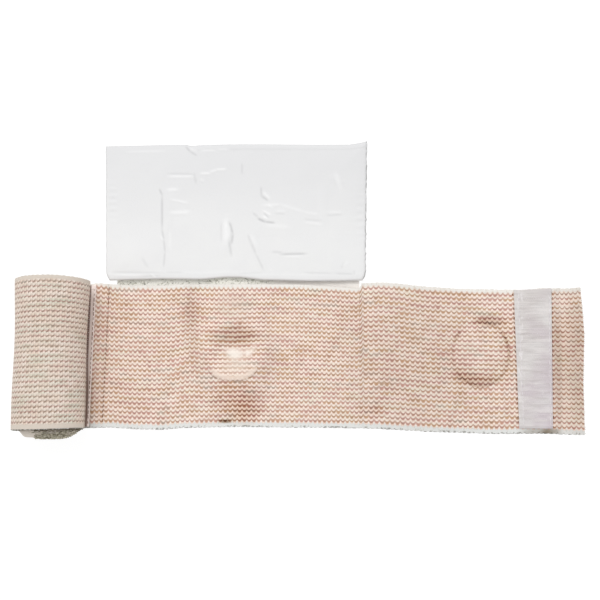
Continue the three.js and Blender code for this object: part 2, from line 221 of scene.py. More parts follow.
# Creases of the pad's thin cover
PAD_CREASES = [
    Fold(-79.9, 99.9, -77.1, 96.7, 1.3, -0.44),
    Fold(-77.1, 96.7, -72.5, 93.6, 1.3, -0.39),
    Fold(-77.8, 98.8, -72.2, 96.7, 1.6, 0.22),
    Fold(-70.1, 97.2, -59.1, 97.4, 1.2, 0.25),
    Fold(-58.4, 98.0, -50.1, 98.1, 1.2, 0.25),
    Fold(-122.0, 96.4, -94.4, 96.9, 1.3, 0.17),
    Fold(-92.8, 80.9, -74.2, 80.4, 1.2, -0.25),
    Fold(-92.1, 78.8, -74.2, 79.0, 1.8, 0.33),
    Fold(-74.2, 81.3, -72.7, 73.6, 1.5, -0.25),
    Fold(-70.0, 80.9, -63.1, 81.1, 1.4, 0.41),
    Fold(-63.1, 82.0, -59.0, 83.5, 1.4, 0.33),
    Fold(-59.0, 83.7, -52.1, 84.1, 1.4, 0.41),
    Fold(-70.0, 76.7, -67.2, 76.0, 1.6, 0.19),
    Fold(-92.7, 69.4, -85.1, 69.7, 2.0, 0.33),
    Fold(-89.9, 62.7, -78.2, 60.3, 1.4, 0.30),
    Fold(-90.5, 53.3, -76.7, 54.0, 2.2, 0.33),
    Fold(-98.0, 70.1, -96.1, 65.9, 1.1, -0.50),
    Fold(-96.1, 65.9, -95.9, 41.5, 1.1, -0.55),
    Fold(-95.9, 41.5, -94.5, 34.5, 1.2, -0.44),
    Fold(-96.9, 37.3, -95.2, 34.5, 1.3, 0.28),
    Fold(-94.5, 34.5, -93.7, 26.2, 1.1, -0.44),
    Fold(-93.7, 26.2, -94.6, 15.8, 1.1, -0.39),
    Fold(-90.4, 40.8, -89.9, 26.9, 1.8, 0.19),
    Fold(-55.0, 47.1, -55.3, 33.2, 1.3, -0.19),
    Fold(-51.9, 47.8, -51.8, 32.5, 3.2, 0.41),
    Fold(-49.5, 47.1, -47.0, 38.7, 1.4, -0.55),
    Fold(-47.0, 38.7, -48.0, 31.8, 1.4, -0.55),
    Fold(-49.8, 34.5, -48.0, 23.4, 1.4, -0.39),
    Fold(-49.1, 44.3, -49.8, 35.9, 1.3, 0.28),
    Fold(-41.0, 88.3, -41.0, 80.6, 1.2, -0.28),
    Fold(-27.9, 71.5, -27.5, 65.2, 1.2, -0.39),
    Fold(-27.5, 65.2, -23.0, 62.0, 1.4, -0.44),
    Fold(-26.1, 68.0, -21.6, 63.1, 1.8, 0.33),
    Fold(-33.3, 53.3, -29.9, 50.5, 1.5, -0.28),
    Fold(-29.9, 49.5, -25.0, 47.1, 1.5, -0.72),
    Fold(-25.0, 47.1, -18.2, 46.4, 1.3, -0.61),
    Fold(-26.4, 50.9, -23.0, 49.1, 1.4, 0.50),
    Fold(-26.4, 55.1, -20.9, 51.9, 1.3, 0.44),
    Fold(-25.8, 53.3, -22.3, 49.8, 1.0, -0.33),
    Fold(-23.0, 58.9, -19.6, 57.2, 1.5, 0.25),
    Fold(-18.2, 53.0, -11.3, 52.6, 1.3, -0.19),
    Fold(-17.5, 54.7, -11.3, 54.7, 1.5, 0.22),
    Fold(-27.1, 58.6, -14.7, 59.3, 1.8, 0.22),
    Fold(-14.7, 59.3, 1.8, 54.0, 1.8, 0.19),
    Fold(1.8, 54.0, 11.4, 52.3, 1.6, 0.22),
    Fold(1.8, 48.8, 14.2, 48.1, 1.4, -0.17),
    Fold(2.5, 46.7, 14.2, 45.3, 1.6, 0.22),
    Fold(17.6, 51.6, 28.0, 52.3, 1.2, -0.22),
    Fold(18.3, 53.7, 28.0, 54.0, 1.5, 0.22),
    Fold(-20.2, 26.2, -13.3, 25.9, 1.3, -0.28),
    Fold(-14.7, 24.5, 3.9, 25.0, 1.3, -0.55),
    Fold(-11.9, 22.8, 0.4, 22.9, 1.5, 0.22),
    Fold(-36.7, 38.0, -34.6, 32.5, 1.5, -0.28),
    Fold(-34.6, 32.5, -31.2, 24.8, 1.6, -0.30),
    Fold(-31.2, 24.8, -26.0, 13.8, 1.5, -0.28),
    Fold(-34.0, 37.3, -30.5, 30.4, 2.2, 0.19),
    Fold(-25.0, 44.6, -7.8, 42.9, 2.6, 0.17),
    Fold(23.9, 82.0, 27.3, 69.4, 3.0, 0.19),
    Fold(1.8, 11.8, 22.4, 11.3, 1.2, -0.25),
    Fold(22.4, 11.3, 36.1, 11.0, 1.1, -0.33),
    Fold(36.1, 13.4, 36.4, 11.0, 1.0, -0.22),
    Fold(27.2, 15.1, 29.9, 18.9, 1.6, -0.19),
    Fold(28.6, 16.5, 32.0, 19.3, 1.8, 0.22),
    Fold(-129.9, 12.0, -94.9, 12.0, 1.1, -0.28),
    Fold(-128.5, 10.0, -105.2, 9.9, 1.2, 0.28),
    Fold(-110.7, 9.3, -97.0, 9.5, 1.1, -0.33),
    Fold(-103.2, 10.6, -99.7, 8.6, 1.2, 0.44),
    Fold(-93.6, 12.2, -80.5, 12.1, 1.1, -0.19),
    Fold(-42.1, 11.4, -27.0, 11.8, 1.2, -0.17),
    Fold(-109.5, 22.1, -105.3, 15.1, 2.0, -0.17),
]

# How the gauze thins out in places, and where it is plain, towards the pad's right end
GAUZE = SimpleNamespace(
    thinned=0.25, size=4.0, plain_from=-30.0, plain_full=-10.0, ragged=30.0,
)

# Hook tapes: sunk seams and a folded end, and where their colour changes, with painted light
# beside the roll and the roll's painted shadow
TAPE = SimpleNamespace(
    seam=2.2, seam_half=1.1, sunk=0.35, fold=3.2, fold_height=0.35, side_drop=0.3, side_radius=0.8,
    thin_front=0.7, thin_reach=1.6,
)
TAPE_LOOKS = SimpleNamespace(
    middle=158.0, worn=4.0, worn_half=3.0, worn_core=1.0, lit_beside_from=-100.0, lit_beside_full=-120.0,
    slant=0.03, shadow=1.7, shadow_core=0.5, deeper=1.1, deeper_from=-45.0, deeper_full=-75.0,
)

# Painted light and shade in the roll's front end: how far its dark loops reach, its rim in painted
# shade and its left part painted paler as lit
ROLL_END_SHADING = SimpleNamespace(
    reach=8.0, start=1.0, soft=4.0, pale_from=2.0, pale_soft=5.0, edge=2.2, edge_soft=1.2,
    depth=2.0, rim=19.5, rim_soft=1.5, end_shade=0.5, end_shade_left=0.4, pale=1.2, top=38.0,
)
# Shade low on the roll's side, in the groove beside its front half
GROOVE = SimpleNamespace(
    width=0.4, soft=0.6, past=1.5, shade=0.8, top=30.0, top_soft=5.0, start=-42.0, along=30.0,
)

# Bent threads: their length, height and radius, how far each is turned at random, in radians, and
# by what share its size differs
Thread = namedtuple("Thread", "length height radius turn uneven seed")
THREADS = SimpleNamespace(
    selvage=Thread(2.9, 0.3, 0.26, 0.12, 0.2, 11),
    roll_end=Thread(2.6, 0.35, 0.3, 0.45, 0.4, 23),
    fray=Thread(1.5, 0.3, 0.22, 0.4, 0.35, 13),
    white_sewing=Thread(2.16, 0.3, 0.24, 0.12, 0.2, 17),
    brown_sewing=Thread(0.72 * KNIT.pitch, 0.3, 0.24, 0.12, 0.2, 17),
    hooks=Thread(0.7, 0.42, 0.1, 0.25, 0.2, 19),
)
# How far hooks and sewing stay from a tape's ends and sides, how far apart they are, and how far
# they are sunk into it
HOOKS = SimpleNamespace(end=4.5, side=3.6, rows=1.5, apart=1.6, sunk=0.08)
SEWING = SimpleNamespace(end=3.0, white_step=3.0, sunk=0.3)
# Stitches on seams: how far they lie past the coral rows, beside the seam and above the knit, and
# their thread
Stitch = namedtuple("Stitch", "past_row beside above thread")
STITCHES = SimpleNamespace(
    right_seam=Stitch(0.2, -0.4, -0.05, Thread(1.3, 0.25, 0.18, 0.25, 0.3, 3)),
    left_seam=Stitch(0.3, 2.2, -0.1, Thread(1.6, 0.3, 0.26, 0.3, 0.25, 5)),
    tape_left=Stitch(0.2, -0.6, -0.12, Thread(1.3, 0.25, 0.2, 0.4, 0.4, 28)),
    tape_right=Stitch(0.2, 0.6, -0.12, Thread(1.3, 0.25, 0.2, 0.4, 0.4, 27)),
)
# Threads of the cut end: how many, how far in from the selvages in shares of its length, and how
# far inside it
FRAY = SimpleNamespace(threads=74, first=0.01, last=0.99, inside=0.1)
# Turns of the roll between which its front end has dark and then olive loops of yarn, put there as
# painted shade, and up to which the loops of the selvages go on along its front and its back edge
LOOPS = SimpleNamespace(
    rim=0.97, core=3.6, core_end=14.0, start=0.06, front_end=0.95, back_end=5.0, from_roll=27.0,
    from_cut=5.0, inside=0.25,
)

# Marks on the knit's tone: where positive, a painted highlight that pales it, and where negative,
# painted shade that browns it
Mark = namedtuple("Mark", "x y half_x half_y tone")
KNIT_MARKS = [
    Mark(-45.8, -43.2, 15.0, 7.2, 0.6),
    Mark(-44.2, -44.0, 8.5, 4.2, 0.2),
    Mark(-49.0, -41.6, 6.5, 3.4, 0.2),
    Mark(-35.4, -43.0, 4.4, 5.0, 0.55),
    Mark(-32.0, -39.6, 3.6, 5.0, 0.6),
    Mark(-46.0, -53.0, 19, 10.0, 0.5),
    Mark(-46.0, -12.0, 18, 16.0, 0.26),
    Mark(-45.5, -31.5, 24, 11.0, -0.4),
    Mark(-57.0, -45.0, 12, 14.0, -0.2),
    Mark(-34.0, -33.0, 12, 12.0, -0.2),
    Mark(-43.0, -76.0, 25, 22.0, -0.36),
    Mark(-38.0, -83.0, 14, 15.0, -0.36),
    Mark(-52.0, -89.6, 7, 1.5, -1.0),
    Mark(-74.0, -14.0, 12, 14.0, -0.2),
    Mark(119.0, -61.0, 21, 6.0, -0.62),
    Mark(108.0, -57.0, 10, 5.0, -0.35),
    Mark(127.5, -21.5, 17, 5.5, -0.6),
    Mark(113.7, -66.8, 5, 2.5, 0.35),
    Mark(-68.5, -40.0, 4.5, 40.0, 0.15),
    Mark(49.0, -82.0, 14, 9.0, -0.28),
    Mark(140.0, -40.0, 8, 36.0, -0.2),
    Mark(186.0, -50.0, 26, 80.0, -0.34),
    Mark(120.0, -42.0, 18, 16.0, 0.08),
]
# Parts of the knit that lie in a duller light
SHADE_MARKS = [
    Mark(195.0, -50.0, 28, 80.0, 0.34),
    Mark(175.5, -50.0, 5, 90.0, 0.3),
    Mark(80.0, -50.0, 70, 90.0, 0.16),
    Mark(-76.0, -20.0, 9, 40.0, 0.16),
    Mark(-45.5, -31.0, 23, 10.0, 0.18),
    Mark(-46.0, -12.0, 20, 18.0, 0.14),
    Mark(-45.5, -43.4, 11, 7.0, 0.1),
    Mark(-52.0, -89.6, 7, 1.5, 1.0),
    Mark(161.0, -97.0, 16, 4.0, 0.55),
    Mark(170.0, -96.5, 9, 4.0, 0.6),
    Mark(122.0, -62.5, 19, 5.0, 0.14),
    Mark(129.0, -20.5, 13, 7.0, 0.22),
]
# Parts where the knit is stretched sideways, so that its rows wave less
FLAT_MARKS = [
    Mark(-46.0, -44.0, 34, 46.0, 1.0),
    Mark(122.0, -44.0, 22, 22.0, 0.9),
]
# Stretches of the print's ring, weighted by how dark its line is drawn: partly the pressed ring
# itself and partly painted shade along its arcs
RING_MARKS = [
    Mark(130.0, -22.0, 18, 7.0, 0.55),
    Mark(140.5, -30.0, 7, 9.0, 1.0),
    Mark(143.0, -42.0, 5, 17.0, 0.75),
    Mark(138.0, -58.0, 8, 9.0, 0.5),
    Mark(106.0, -30.5, 6, 8.0, 0.8),
    Mark(103.0, -44.0, 5, 14.0, 0.3),
    Mark(121.0, -65.0, 22, 8.0, 0.65),
    Mark(107.0, -59.0, 8, 8.0, 0.5),
]
# The cup's front rim, which the knit's low step follows, and an oval inside it; between the two
# the knit is painted plain and pale as a highlight
Oval = namedtuple("Oval", "x y half_x half_y power")
RIM = Oval(-46.6, -44.0, 17.2, 17.5, 3.2)
RIM_INSIDE = Oval(-46.5, -32.0, 23.5, 27.4, 2.0)

# Where the rows of the knit ride up beside a fold
Ride = namedtuple("Ride", "x y before after half_y rise")
ROW_RIDES = [
    Ride(-74.5, -44, 16, 9, 52, 1.7),
    Ride(-93, -60, 10, 8, 40, 0.4),
    Ride(-141, 4, 9, 16, 26, 1.0),
    Ride(-46, -24, 30, 30, 36, -1.4),
]

# How much longer the knit's waves are than where it lies relaxed
Stretch = namedtuple("Stretch", "x ratio")
STRETCHES = [
    Stretch(-168.4, 0.99),
    Stretch(-60, 1.0),
    Stretch(10, 0.97),
    Stretch(40.4, 0.945),
    Stretch(42.5, 1.09),
    Stretch(150, 1.09),
    Stretch(196, 1.12),
]

# Small maths on numbers and arrays


def clamp01(t):
    return np.clip(t, 0.0, 1.0)


def smooth(t):
    t = clamp01(t)
    return t * t * (3 - 2 * t)


def mix(a, b, t):
    return a + (b - a) * t


def stacked(*parts):
    """Points, from an array of each of their coordinates."""
    return np.stack(np.broadcast_arrays(*parts), axis=-1)


def read_table(table, at, column):
    """A column's value between the rows of a short table, whose first column is given."""
    return np.interp(at, [row[0] for row in table], [getattr(row, column) for row in table])


def selvages(x):
    """Where the loose wrap's lower and upper selvages lie."""
    return [read_table(WRAP_EDGES, x, side) for side in ("lower", "upper")]


def fold_height(folds, x, y):
    """Height that a list of soft ridges and troughs, which fade at their ends, adds at a point."""
    height = np.zeros_like(x)
    for fold in folds:
        dx, dy = fold.x2 - fold.x1, fold.y2 - fold.y1
        t = clamp01(((x - fold.x1) * dx + (y - fold.y1) * dy) / (dx * dx + dy * dy))
        away = np.hypot(x - fold.x1 - t * dx, y - fold.y1 - t * dy)
        ends = smooth(2.5 * t + 0.35) * smooth(2.5 * (1 - t) + 0.35)
        height += fold.height * smooth(1 - away / fold.half) * ends
    return height


def unevenness(x, y, size, seed):
    """Soft random height from -1 to 1 whose lumps are about size across."""
    half = 64
    grid = np.random.default_rng(seed).uniform(-1, 1, (2 * half + 2, 2 * half + 2))
    i, j = np.floor(x / size), np.floor(y / size)
    s, t = smooth(x / size - i), smooth(y / size - j)
    i, j = i.astype(int) + half, j.astype(int) + half
    low = mix(grid[i, j], grid[i + 1, j], s)
    high = mix(grid[i, j + 1], grid[i + 1, j + 1], s)
    return mix(low, high, t)


# Where the loose wrap lies


def dish_rise(x, y):
    """Height of the knit over the round cup: a rim, a dip behind the middle, and long slopes."""
    dx, dy = x - CUP.x, y - CUP.y
    away = np.hypot(dx, dy)
    lengthwise = (np.abs(dy) / np.maximum(away, 0.01)) ** 4
    reach = mix(DISH.side_reach, np.where(dy > 0, DISH.back_reach, DISH.front_reach), lengthwise)
    t = clamp01(1 - (away - DISH.radius) / reach)
    width = np.where(dy > DISH.dip_back, DISH.dip_back_width, DISH.dip_front_width)
    spread = ((dy - DISH.dip_back) / width) ** 2 + (dx / DISH.dip_side) ** 2
    held = 1 - clamp01(away / DISH.radius) ** 4
    inside = DISH.height - DISH.dip * np.exp(-spread) * held
    return np.where(away > DISH.radius, DISH.height * t * t * (2 - t), inside)


def rim_lip(x, y):
    """The cup's hard front rim, which shows as a low step in the knit."""
    along, out = np.abs((x - RIM.x) / RIM.half_x), np.abs((y - RIM.y) / RIM.half_y)
    away = (along ** RIM.power + out ** RIM.power) ** (1 / RIM.power)
    front = smooth((RIM.y - y) / LIP.fade)
    rise = smooth((LIP.edge - away) / LIP.fall) * smooth((away - LIP.start) / LIP.rise)
    return LIP.height * front * rise


def print_rise(x, y):
    away = np.hypot((x - PRINT.x) / PRINT.half_x, (y - PRINT.y) / PRINT.half_y)
    return PRINT.height * (1 - clamp01(away) ** 3)


def left_seam_x(y):
    return SEAMS.left + SEAMS.left_slant * clamp01(1 + y / SEAMS.slant_over)


def wrap_underside(x, y):
    left_seam = left_seam_x(y)
    held = smooth((x - left_seam) / SEAMS.rise) * (1 - smooth((x - SEAMS.right) / SEAMS.fall))
    backed = held * (BACKING_THICK + CLEAR)
    billow = held * SEAMS.billow * smooth((x - left_seam) / SEAMS.billow_left)
    billow = billow * smooth((SEAMS.right - x) / SEAMS.billow_right)
    loose = smooth((x - LUMPS.start) / LUMPS.soft)
    lumps = LUMPS.height * loose * (1 + unevenness(x, y, LUMPS.size, 4))
    folds = fold_height(WRAP_FOLDS, x, y) + fold_height(WRAP_CREASES, x, y)
    folds = folds + lumps + rim_lip(x, y)
    lie = np.maximum(backed, backed + billow + folds)
    return lie + held * dish_rise(x, y) + print_rise(x, y)


def wrap_top(x, y):
    return wrap_underside(x, y) + WRAP_THICK


# Meshes


class Sheet:
    """A closed sheet of cloth, built from grids of its top and its underside."""

    def __init__(self):
        self.points, self.flat, self.back, self.faces = [], [], [], []
        self.count = 0

    def grid(self, top, bottom, flat):
        """Adds both sides of a stretch, its rows towards -X or round the roll, columns to +Y."""
        rows, columns = top.shape[:2]
        tops = np.arange(rows * columns).reshape(rows, columns) + self.count
        bottoms = tops + rows * columns
        for side, points in enumerate((top, bottom)):
            self.points.append(points.reshape(-1, 3))
            self.flat.append(flat.reshape(-1, 2))
            self.back.append(np.full(rows * columns, float(side)))
        self.count += 2 * rows * columns
        self.quads(tops[:-1, :-1], tops[:-1, 1:], tops[1:, 1:], tops[1:, :-1])
        self.quads(bottoms[:-1, :-1], bottoms[1:, :-1], bottoms[1:, 1:], bottoms[:-1, 1:])
        self.quads(tops[:-1, 0], tops[1:, 0], bottoms[1:, 0], bottoms[:-1, 0])
        self.quads(tops[1:, -1], tops[:-1, -1], bottoms[:-1, -1], bottoms[1:, -1])
        return tops, bottoms

    def quads(self, a, b, c, d):
        self.faces.extend(np.stack([a.ravel(), b.ravel(), c.ravel(), d.ravel()], axis=1).tolist())

    def cap_start(self, tops, bottoms):
        self.quads(tops[0, 1:], tops[0, :-1], bottoms[0, :-1], bottoms[0, 1:])

    def cap_end(self, tops, bottoms):
        self.quads(tops[-1, :-1], tops[-1, 1:], bottoms[-1, 1:], bottoms[-1, :-1])

    def join(self, fine, coarse):
        """Closes the gap between a fine grid's last row and a coarse grid's first one."""
        share = (fine[0].shape[1] - 1) // (coarse[0].shape[1] - 1)
        for side in (0, 1):
            last, first = fine[side][-1], coarse[side][0]
            for k in range(len(first) - 1):
                face = [*last[k * share:(k + 1) * share + 1], first[k + 1], first[k]]
                self.faces.append([int(i) for i in (face if side == 0 else face[::-1])])
        for end in (0, -1):
            rim = [fine[0][-1][end], coarse[0][0][end], coarse[1][0][end], fine[1][-1][end]]
            self.faces.append([int(i) for i in (rim if end == 0 else rim[::-1])])

    def object(self, name, material, sharp=50):
        mesh = bpy.data.meshes.new(name)
        mesh.from_pydata(np.concatenate(self.points) * MM, [], self.faces)
        corners = np.empty(len(mesh.loops), dtype=np.int32)
        mesh.loops.foreach_get("vertex_index", corners)
        flat = np.concatenate(self.flat)[corners] * MM
        mesh.uv_layers.new(name="cloth").uv.foreach_set("vector", flat.ravel().astype(np.float32))
        add_numbers(mesh, "back", np.concatenate(self.back))
        mesh.validate()
        mesh.materials.append(material)
        mesh.polygons.foreach_set("use_smooth", [True] * len(mesh.polygons))
        mesh.set_sharp_from_angle(angle=math.radians(sharp))
        return placed(name, mesh)


def add_numbers(mesh, name, numbers):
    layer = mesh.attributes.new(name, "FLOAT", "POINT")
    layer.data.foreach_set("value", np.asarray(numbers, dtype=np.float32))


def placed(name, data):
    """A new object of the scene, at the origin."""
    piece = bpy.data.objects.new(name, data)
    bpy.context.scene.collection.objects.link(piece)
    return piece


def layer_piece(name, x, y, top, bottom, flat, material, sharp=50):
    """A closed piece between an upper and a lower face that lie over the same places."""
    sheet = Sheet()
    grids = sheet.grid(stacked(x, y, top), stacked(x, y, bottom), flat)
    sheet.cap_start(*grids)
    sheet.cap_end(*grids)
    return sheet.object(name, material, sharp)


def between(start, end, step):
    """Evenly spaced numbers from start to end, about step apart."""
    return np.linspace(start, end, max(2, round(abs(end - start) / step) + 1))


# Shader maths


class Value:
    """A shader socket. An expression on it adds the Math nodes it needs."""

    def __init__(self, finish, socket):
        self.finish, self.socket = finish, socket

    def __add__(self, other):
        return self.finish.math("ADD", self, other)

    def __sub__(self, other):
        return self.finish.math("SUBTRACT", self, other)

    def __rsub__(self, other):
        return self.finish.math("SUBTRACT", other, self)

    def __mul__(self, other):
        return self.finish.math("MULTIPLY", self, other)

    def __pow__(self, other):
        return self.finish.math("POWER", self, other)

    def __abs__(self):
        return self.finish.math("ABSOLUTE", self)


class Finish:
    """A material. Its shader's constant sockets are set at once, and nodes are added by need."""

    def __init__(self, name, **constants):
        self.material = bpy.data.materials.new(name)
        self.material.use_nodes = True
        self.tree = self.material.node_tree
        self.shader = self.tree.nodes["Principled BSDF"]
        for words, value in constants.items():
            self.shader.inputs[words.replace("_", " ")].default_value = value

    def node(self, kind, settings, sockets, output=0):
        node = self.tree.nodes.new(kind)
        for key, value in settings.items():
            setattr(node, key, value)
        for key, value in sockets.items():
            self.put(node.inputs[key], value)
        return Value(self, node.outputs[output])

    def put(self, socket, value):
        if isinstance(value, Value):
            self.tree.links.new(value.socket, socket)
        else:
            socket.default_value = value

    def math(self, operation, *values):
        return self.node("ShaderNodeMath", {"operation": operation}, dict(enumerate(values)))

    def step(self, value, start, end):
        """0 before start, 1 after end, and smooth between them; start may be the larger."""
        sockets = {"Value": value, "From Min": start, "From Max": end}
        return self.node("ShaderNodeMapRange", {"interpolation_type": "SMOOTHSTEP"}, sockets)

    def blend(self, factor, a, b, blend_type="MIX"):
        settings = {"data_type": "RGBA", "blend_type": blend_type}
        return self.node("ShaderNodeMix", settings, {0: factor, 6: a, 7: b}, 2)

    def number_blend(self, factor, a, b):
        return self.node("ShaderNodeMix", {"data_type": "FLOAT"}, {0: factor, 2: a, 3: b})

    def place(self):
        return self.node("ShaderNodeTexCoord", {}, {}, "Object")

    def split(self, vector):
        first = self.node("ShaderNodeSeparateXYZ", {}, {0: vector})
        node = first.socket.node
        return first, Value(self, node.outputs[1]), Value(self, node.outputs[2])

    def point(self, x, y, z=0.0):
        return self.node("ShaderNodeCombineXYZ", {}, {0: x, 1: y, 2: z})

    def noise(self, vector, scale, detail=2.0, roughness=0.5):
        sockets = {"Vector": vector, "Scale": scale, "Detail": detail, "Roughness": roughness}
        return self.node("ShaderNodeTexNoise", {}, sockets)

    def patchy(self, x, y, z=0.0, detail=1.0):
        """Noise between 0 and 1 whose patches are about 1 across in the given numbers."""
        return self.noise(self.point(x, y, z), 1.0, detail)

    def attribute(self, name):
        return self.node("ShaderNodeAttribute", {"attribute_name": name}, {}, "Fac")

    def colour(self, value):
        self.put(self.shader.inputs["Base Color"], value)

    def relief(self, height, depth):
        """A Bump node of the given height, from 0 to 1, whose full depth is in millimetres."""
        sockets = {"Height": height, "Distance": depth * MM, "Strength": 1.0}
        bump = self.node("ShaderNodeBump", {}, sockets)
        self.put(self.shader.inputs["Normal"], bump)


def rgb(red, green, blue):
    """A colour given as on a screen, 0 to 255, in the linear light that the shader reads."""
    parts = [c / 255 for c in (red, green, blue)]
    return (*[p / 12.92 if p <= 0.04045 else ((p + 0.055) / 1.055) ** 2.4 for p in parts], 1.0)


# Finishes


def knit_finish():
    """Cream knit with rows of coral zigzags, muted on its back, with plain selvages, and painted
    highlight and shade from its marks.
    """
    knit = Finish("knit", Roughness=0.92, Sheen_Weight=0.1, Specular_IOR_Level=0.2)
    cloth = knit.node("ShaderNodeUVMap", {"uv_map": "cloth"}, {})
    along, across, _ = knit.split(cloth)
    back = knit.attribute("back")
    tone = knit.attribute("tone")

    # turn counts the waves along the cloth, and level the rows across it
    drift = knit.patchy(along * 45, across * 45, detail=2.0) - 0.5
    turn = along * (1 / (KNIT.wave * MM)) + KNIT.phase + drift * 0.5
    cusp = 1 - abs(knit.math("SINE", turn * math.pi))
    swing = knit.number_blend(back, KNIT.swing, KNIT.swing_back)
    swing = swing * (1 - knit.attribute("flatter") * 0.5)
    level = (across - KNIT.first_row * MM) * (1 / (KNIT.pitch * MM)) - (cusp - 0.36) * swing
    wobble = knit.patchy(turn * 0.8, level * 1.6, 2.0) - 0.5
    level = level + wobble * 0.42
    row = knit.math("ROUND", level)
    off = level - row
    away = abs(off)
    in_rows = knit.step(row, -0.6, -0.4) * knit.step(row, KNIT.rows - 0.4, KNIT.rows - 0.6)
    # off and away say how far a point lies from its row, part and middle how far along its wave
    cell = knit.point(knit.math("FLOOR", turn), row)
    stitch = knit.node("ShaderNodeTexWhiteNoise", {"noise_dimensions": "2D"}, {"Vector": cell})

    part = knit.math("FRACT", turn) - 0.5
    middle = abs(part)
    valley = knit.step(middle, 0.46, 0.14)
    firm = knit.patchy(turn * 0.14, row * 3.1, 9.0) * 0.9 + stitch * 0.3 + 0.4
    end = knit.step(along, KNIT.worn_from * MM, KNIT.worn_full * MM) * (1 - back)
    half = knit.number_blend(valley, 0.2, 0.25) * firm * (1 - end * 0.3)
    half = knit.number_blend(back, half, 0.13)
    coral = (1 - knit.step(away - half, -0.15, 0.15)) * knit.number_blend(valley, 0.85, 1.0)
    coral = coral * in_rows
    hue = knit.patchy(turn * 0.19, row * 3.7)
    soiled = knit.patchy(turn * 0.23, row * 2.3, 4.0)
    pale_hue = knit.patchy(turn * 0.16, row * 2.9, 7.0)

    pink = knit.blend(back, rgb(194, 149, 137), rgb(187, 148, 138))
    orange = knit.blend(back, rgb(191, 152, 122), rgb(180, 156, 138))
    grey = knit.blend(back, rgb(178, 158, 144), rgb(172, 160, 146))
    coral_colour = knit.blend(knit.step(hue, 0.38, 0.62), pink, orange)
    coral_colour = knit.blend(knit.step(soiled, 0.56, 0.74), coral_colour, grey)
    cream = knit.blend(back, rgb(252, 239, 229), rgb(232, 217, 204))
    green = knit.blend(back, rgb(244, 238, 224), rgb(216, 214, 198))
    cream_colour = knit.blend(knit.step(pale_hue, 0.45, 0.7), cream, green)
    leg = knit.step(abs(middle - 0.27 - off * 0.25), 0.17, 0.04) * in_rows
    leg = leg * (firm * 0.9 - 0.25) * (1 - end * 0.4)
    leg_colour = knit.blend(back, rgb(224, 194, 176), rgb(204, 188, 175))
    cream_colour = knit.blend(leg, cream_colour, leg_colour)

    # Painted shade in the knit's small holes: spots low in the valleys, dots at the peaks, and
    # dashes on its back.
    spot = knit.step(middle, 0.24, 0.04) * knit.step(away, 0.26, 0.08) * in_rows
    peak = knit.step(middle, 0.34, 0.48) * knit.step(abs(off - 0.18), 0.2, 0.06)
    peak = peak * in_rows * (1 - back)
    dash = knit.step(abs(off - part * 0.75), 0.24, 0.08)
    dash = dash * knit.step(middle, 0.46, 0.2) * in_rows * back * (stitch * 0.5 + 0.5)
    colour = knit.blend(coral, cream_colour, coral_colour)
    colour = knit.blend(spot * (1 - back) * (1 - end) * 0.22, colour, rgb(140, 110, 92))
    colour = knit.blend(peak * 0.25, colour, rgb(140, 112, 94))
    colour = knit.blend(dash * 0.75, colour, rgb(118, 98, 84))

    strand = knit.math("SINE", level * (2 * math.pi * 5))
    twist = knit.math("SINE", turn * (2 * math.pi * 6) + level * 9)
    yarn = strand * 0.5 + twist * 0.25
    shade = yarn * 0.2 + stitch * 0.7 + 0.15
    shade = knit.blend(shade, (0, 0, 0, 1), (1, 1, 1, 1))
    colour = knit.blend(0.2, colour, shade, "OVERLAY")

    plain = selvage_colour(knit, along, across)
    plain = knit.blend(back, plain, rgb(215, 204, 192))
    colour = knit.blend(1 - in_rows, colour, plain)
    patches = knit.patchy(along * 22, across * 34, 5.0, 2.0) - 0.5
    tone = tone + patches * 0.5
    # A positive tone paints a highlight, paling the knit towards white-cream.
    pale = knit.blend(knit.step(tone, 0.3, 0.9), rgb(234, 216, 201), rgb(255, 247, 238))
    colour = knit.blend(knit.step(tone, -0.1, 1.15), colour, pale)
    # A negative tone paints shade, multiplying the knit by a browner tint.
    dark = knit.math("MAXIMUM", 0.0 - tone, 0.0)
    shade_tint = knit.blend(coral, rgb(240, 223, 210), rgb(182, 134, 104))
    colour = knit.blend(dark, colour, shade_tint, "MULTIPLY")
    # Over the cup's front rim the knit is painted plain and pale as a highlight, with a painted
    # shadow line just outside it.
    rim_highlight, edge = rim_marks(knit)
    colour = knit.blend(rim_highlight * 0.8, colour, rgb(238, 220, 206))
    colour = knit.blend(edge * 0.25, colour, rgb(150, 118, 98), "MULTIPLY")
    # The print's ring darkens the knit, partly as its pressed line and partly as painted shade.
    ring_print_and_shade = knit.blend(coral, rgb(214, 192, 172), rgb(138, 96, 72))
    colour = knit.blend(print_ring(knit) * 0.75, colour, ring_print_and_shade, "MULTIPLY")
    colour = knit.blend(knit.attribute("shade"), colour, rgb(156, 144, 128), "MULTIPLY")
    knit.colour(colour)

    ribs = knit.math("SINE", along * (2 * math.pi / (0.82 * MM)))
    raised = knit.step(away, 0.1, 0.44) * in_rows + (ribs * 0.25 + 0.5) * (1 - in_rows)
    knit.relief(raised * 0.8 + yarn * 0.12 - spot * 0.2, 0.3)
    return knit.material


def selvage_colour(knit, along, across):
    """Lower selvage grey-white, painted shade on the edge turned from the light, with painted
    shadow in the dark specks at its outer edge, and a creamier upper one.
    """
    plain = knit.blend(knit.step(across, 30 * MM, 70 * MM), rgb(230, 231, 229), rgb(242, 238, 232))
    specks = knit.patchy(along * 620, across * 500, 1.0, 2.0)
    runs = knit.patchy(along * 34, 0.0, 6.0)
    # Painted shadow: dark specks along the lower selvage's very edge, under its loops.
    outer = knit.step(across, 1.4 * MM, 0.4 * MM)
    dark = outer * knit.step(specks + runs * 0.7, 0.84, 1.02)
    inner = knit.step(specks - runs * 0.3, 0.42, 0.55) * 0.3
    plain = knit.blend(inner, plain, rgb(178, 172, 150))
    return knit.blend(dark * 0.7, plain, rgb(92, 88, 80))


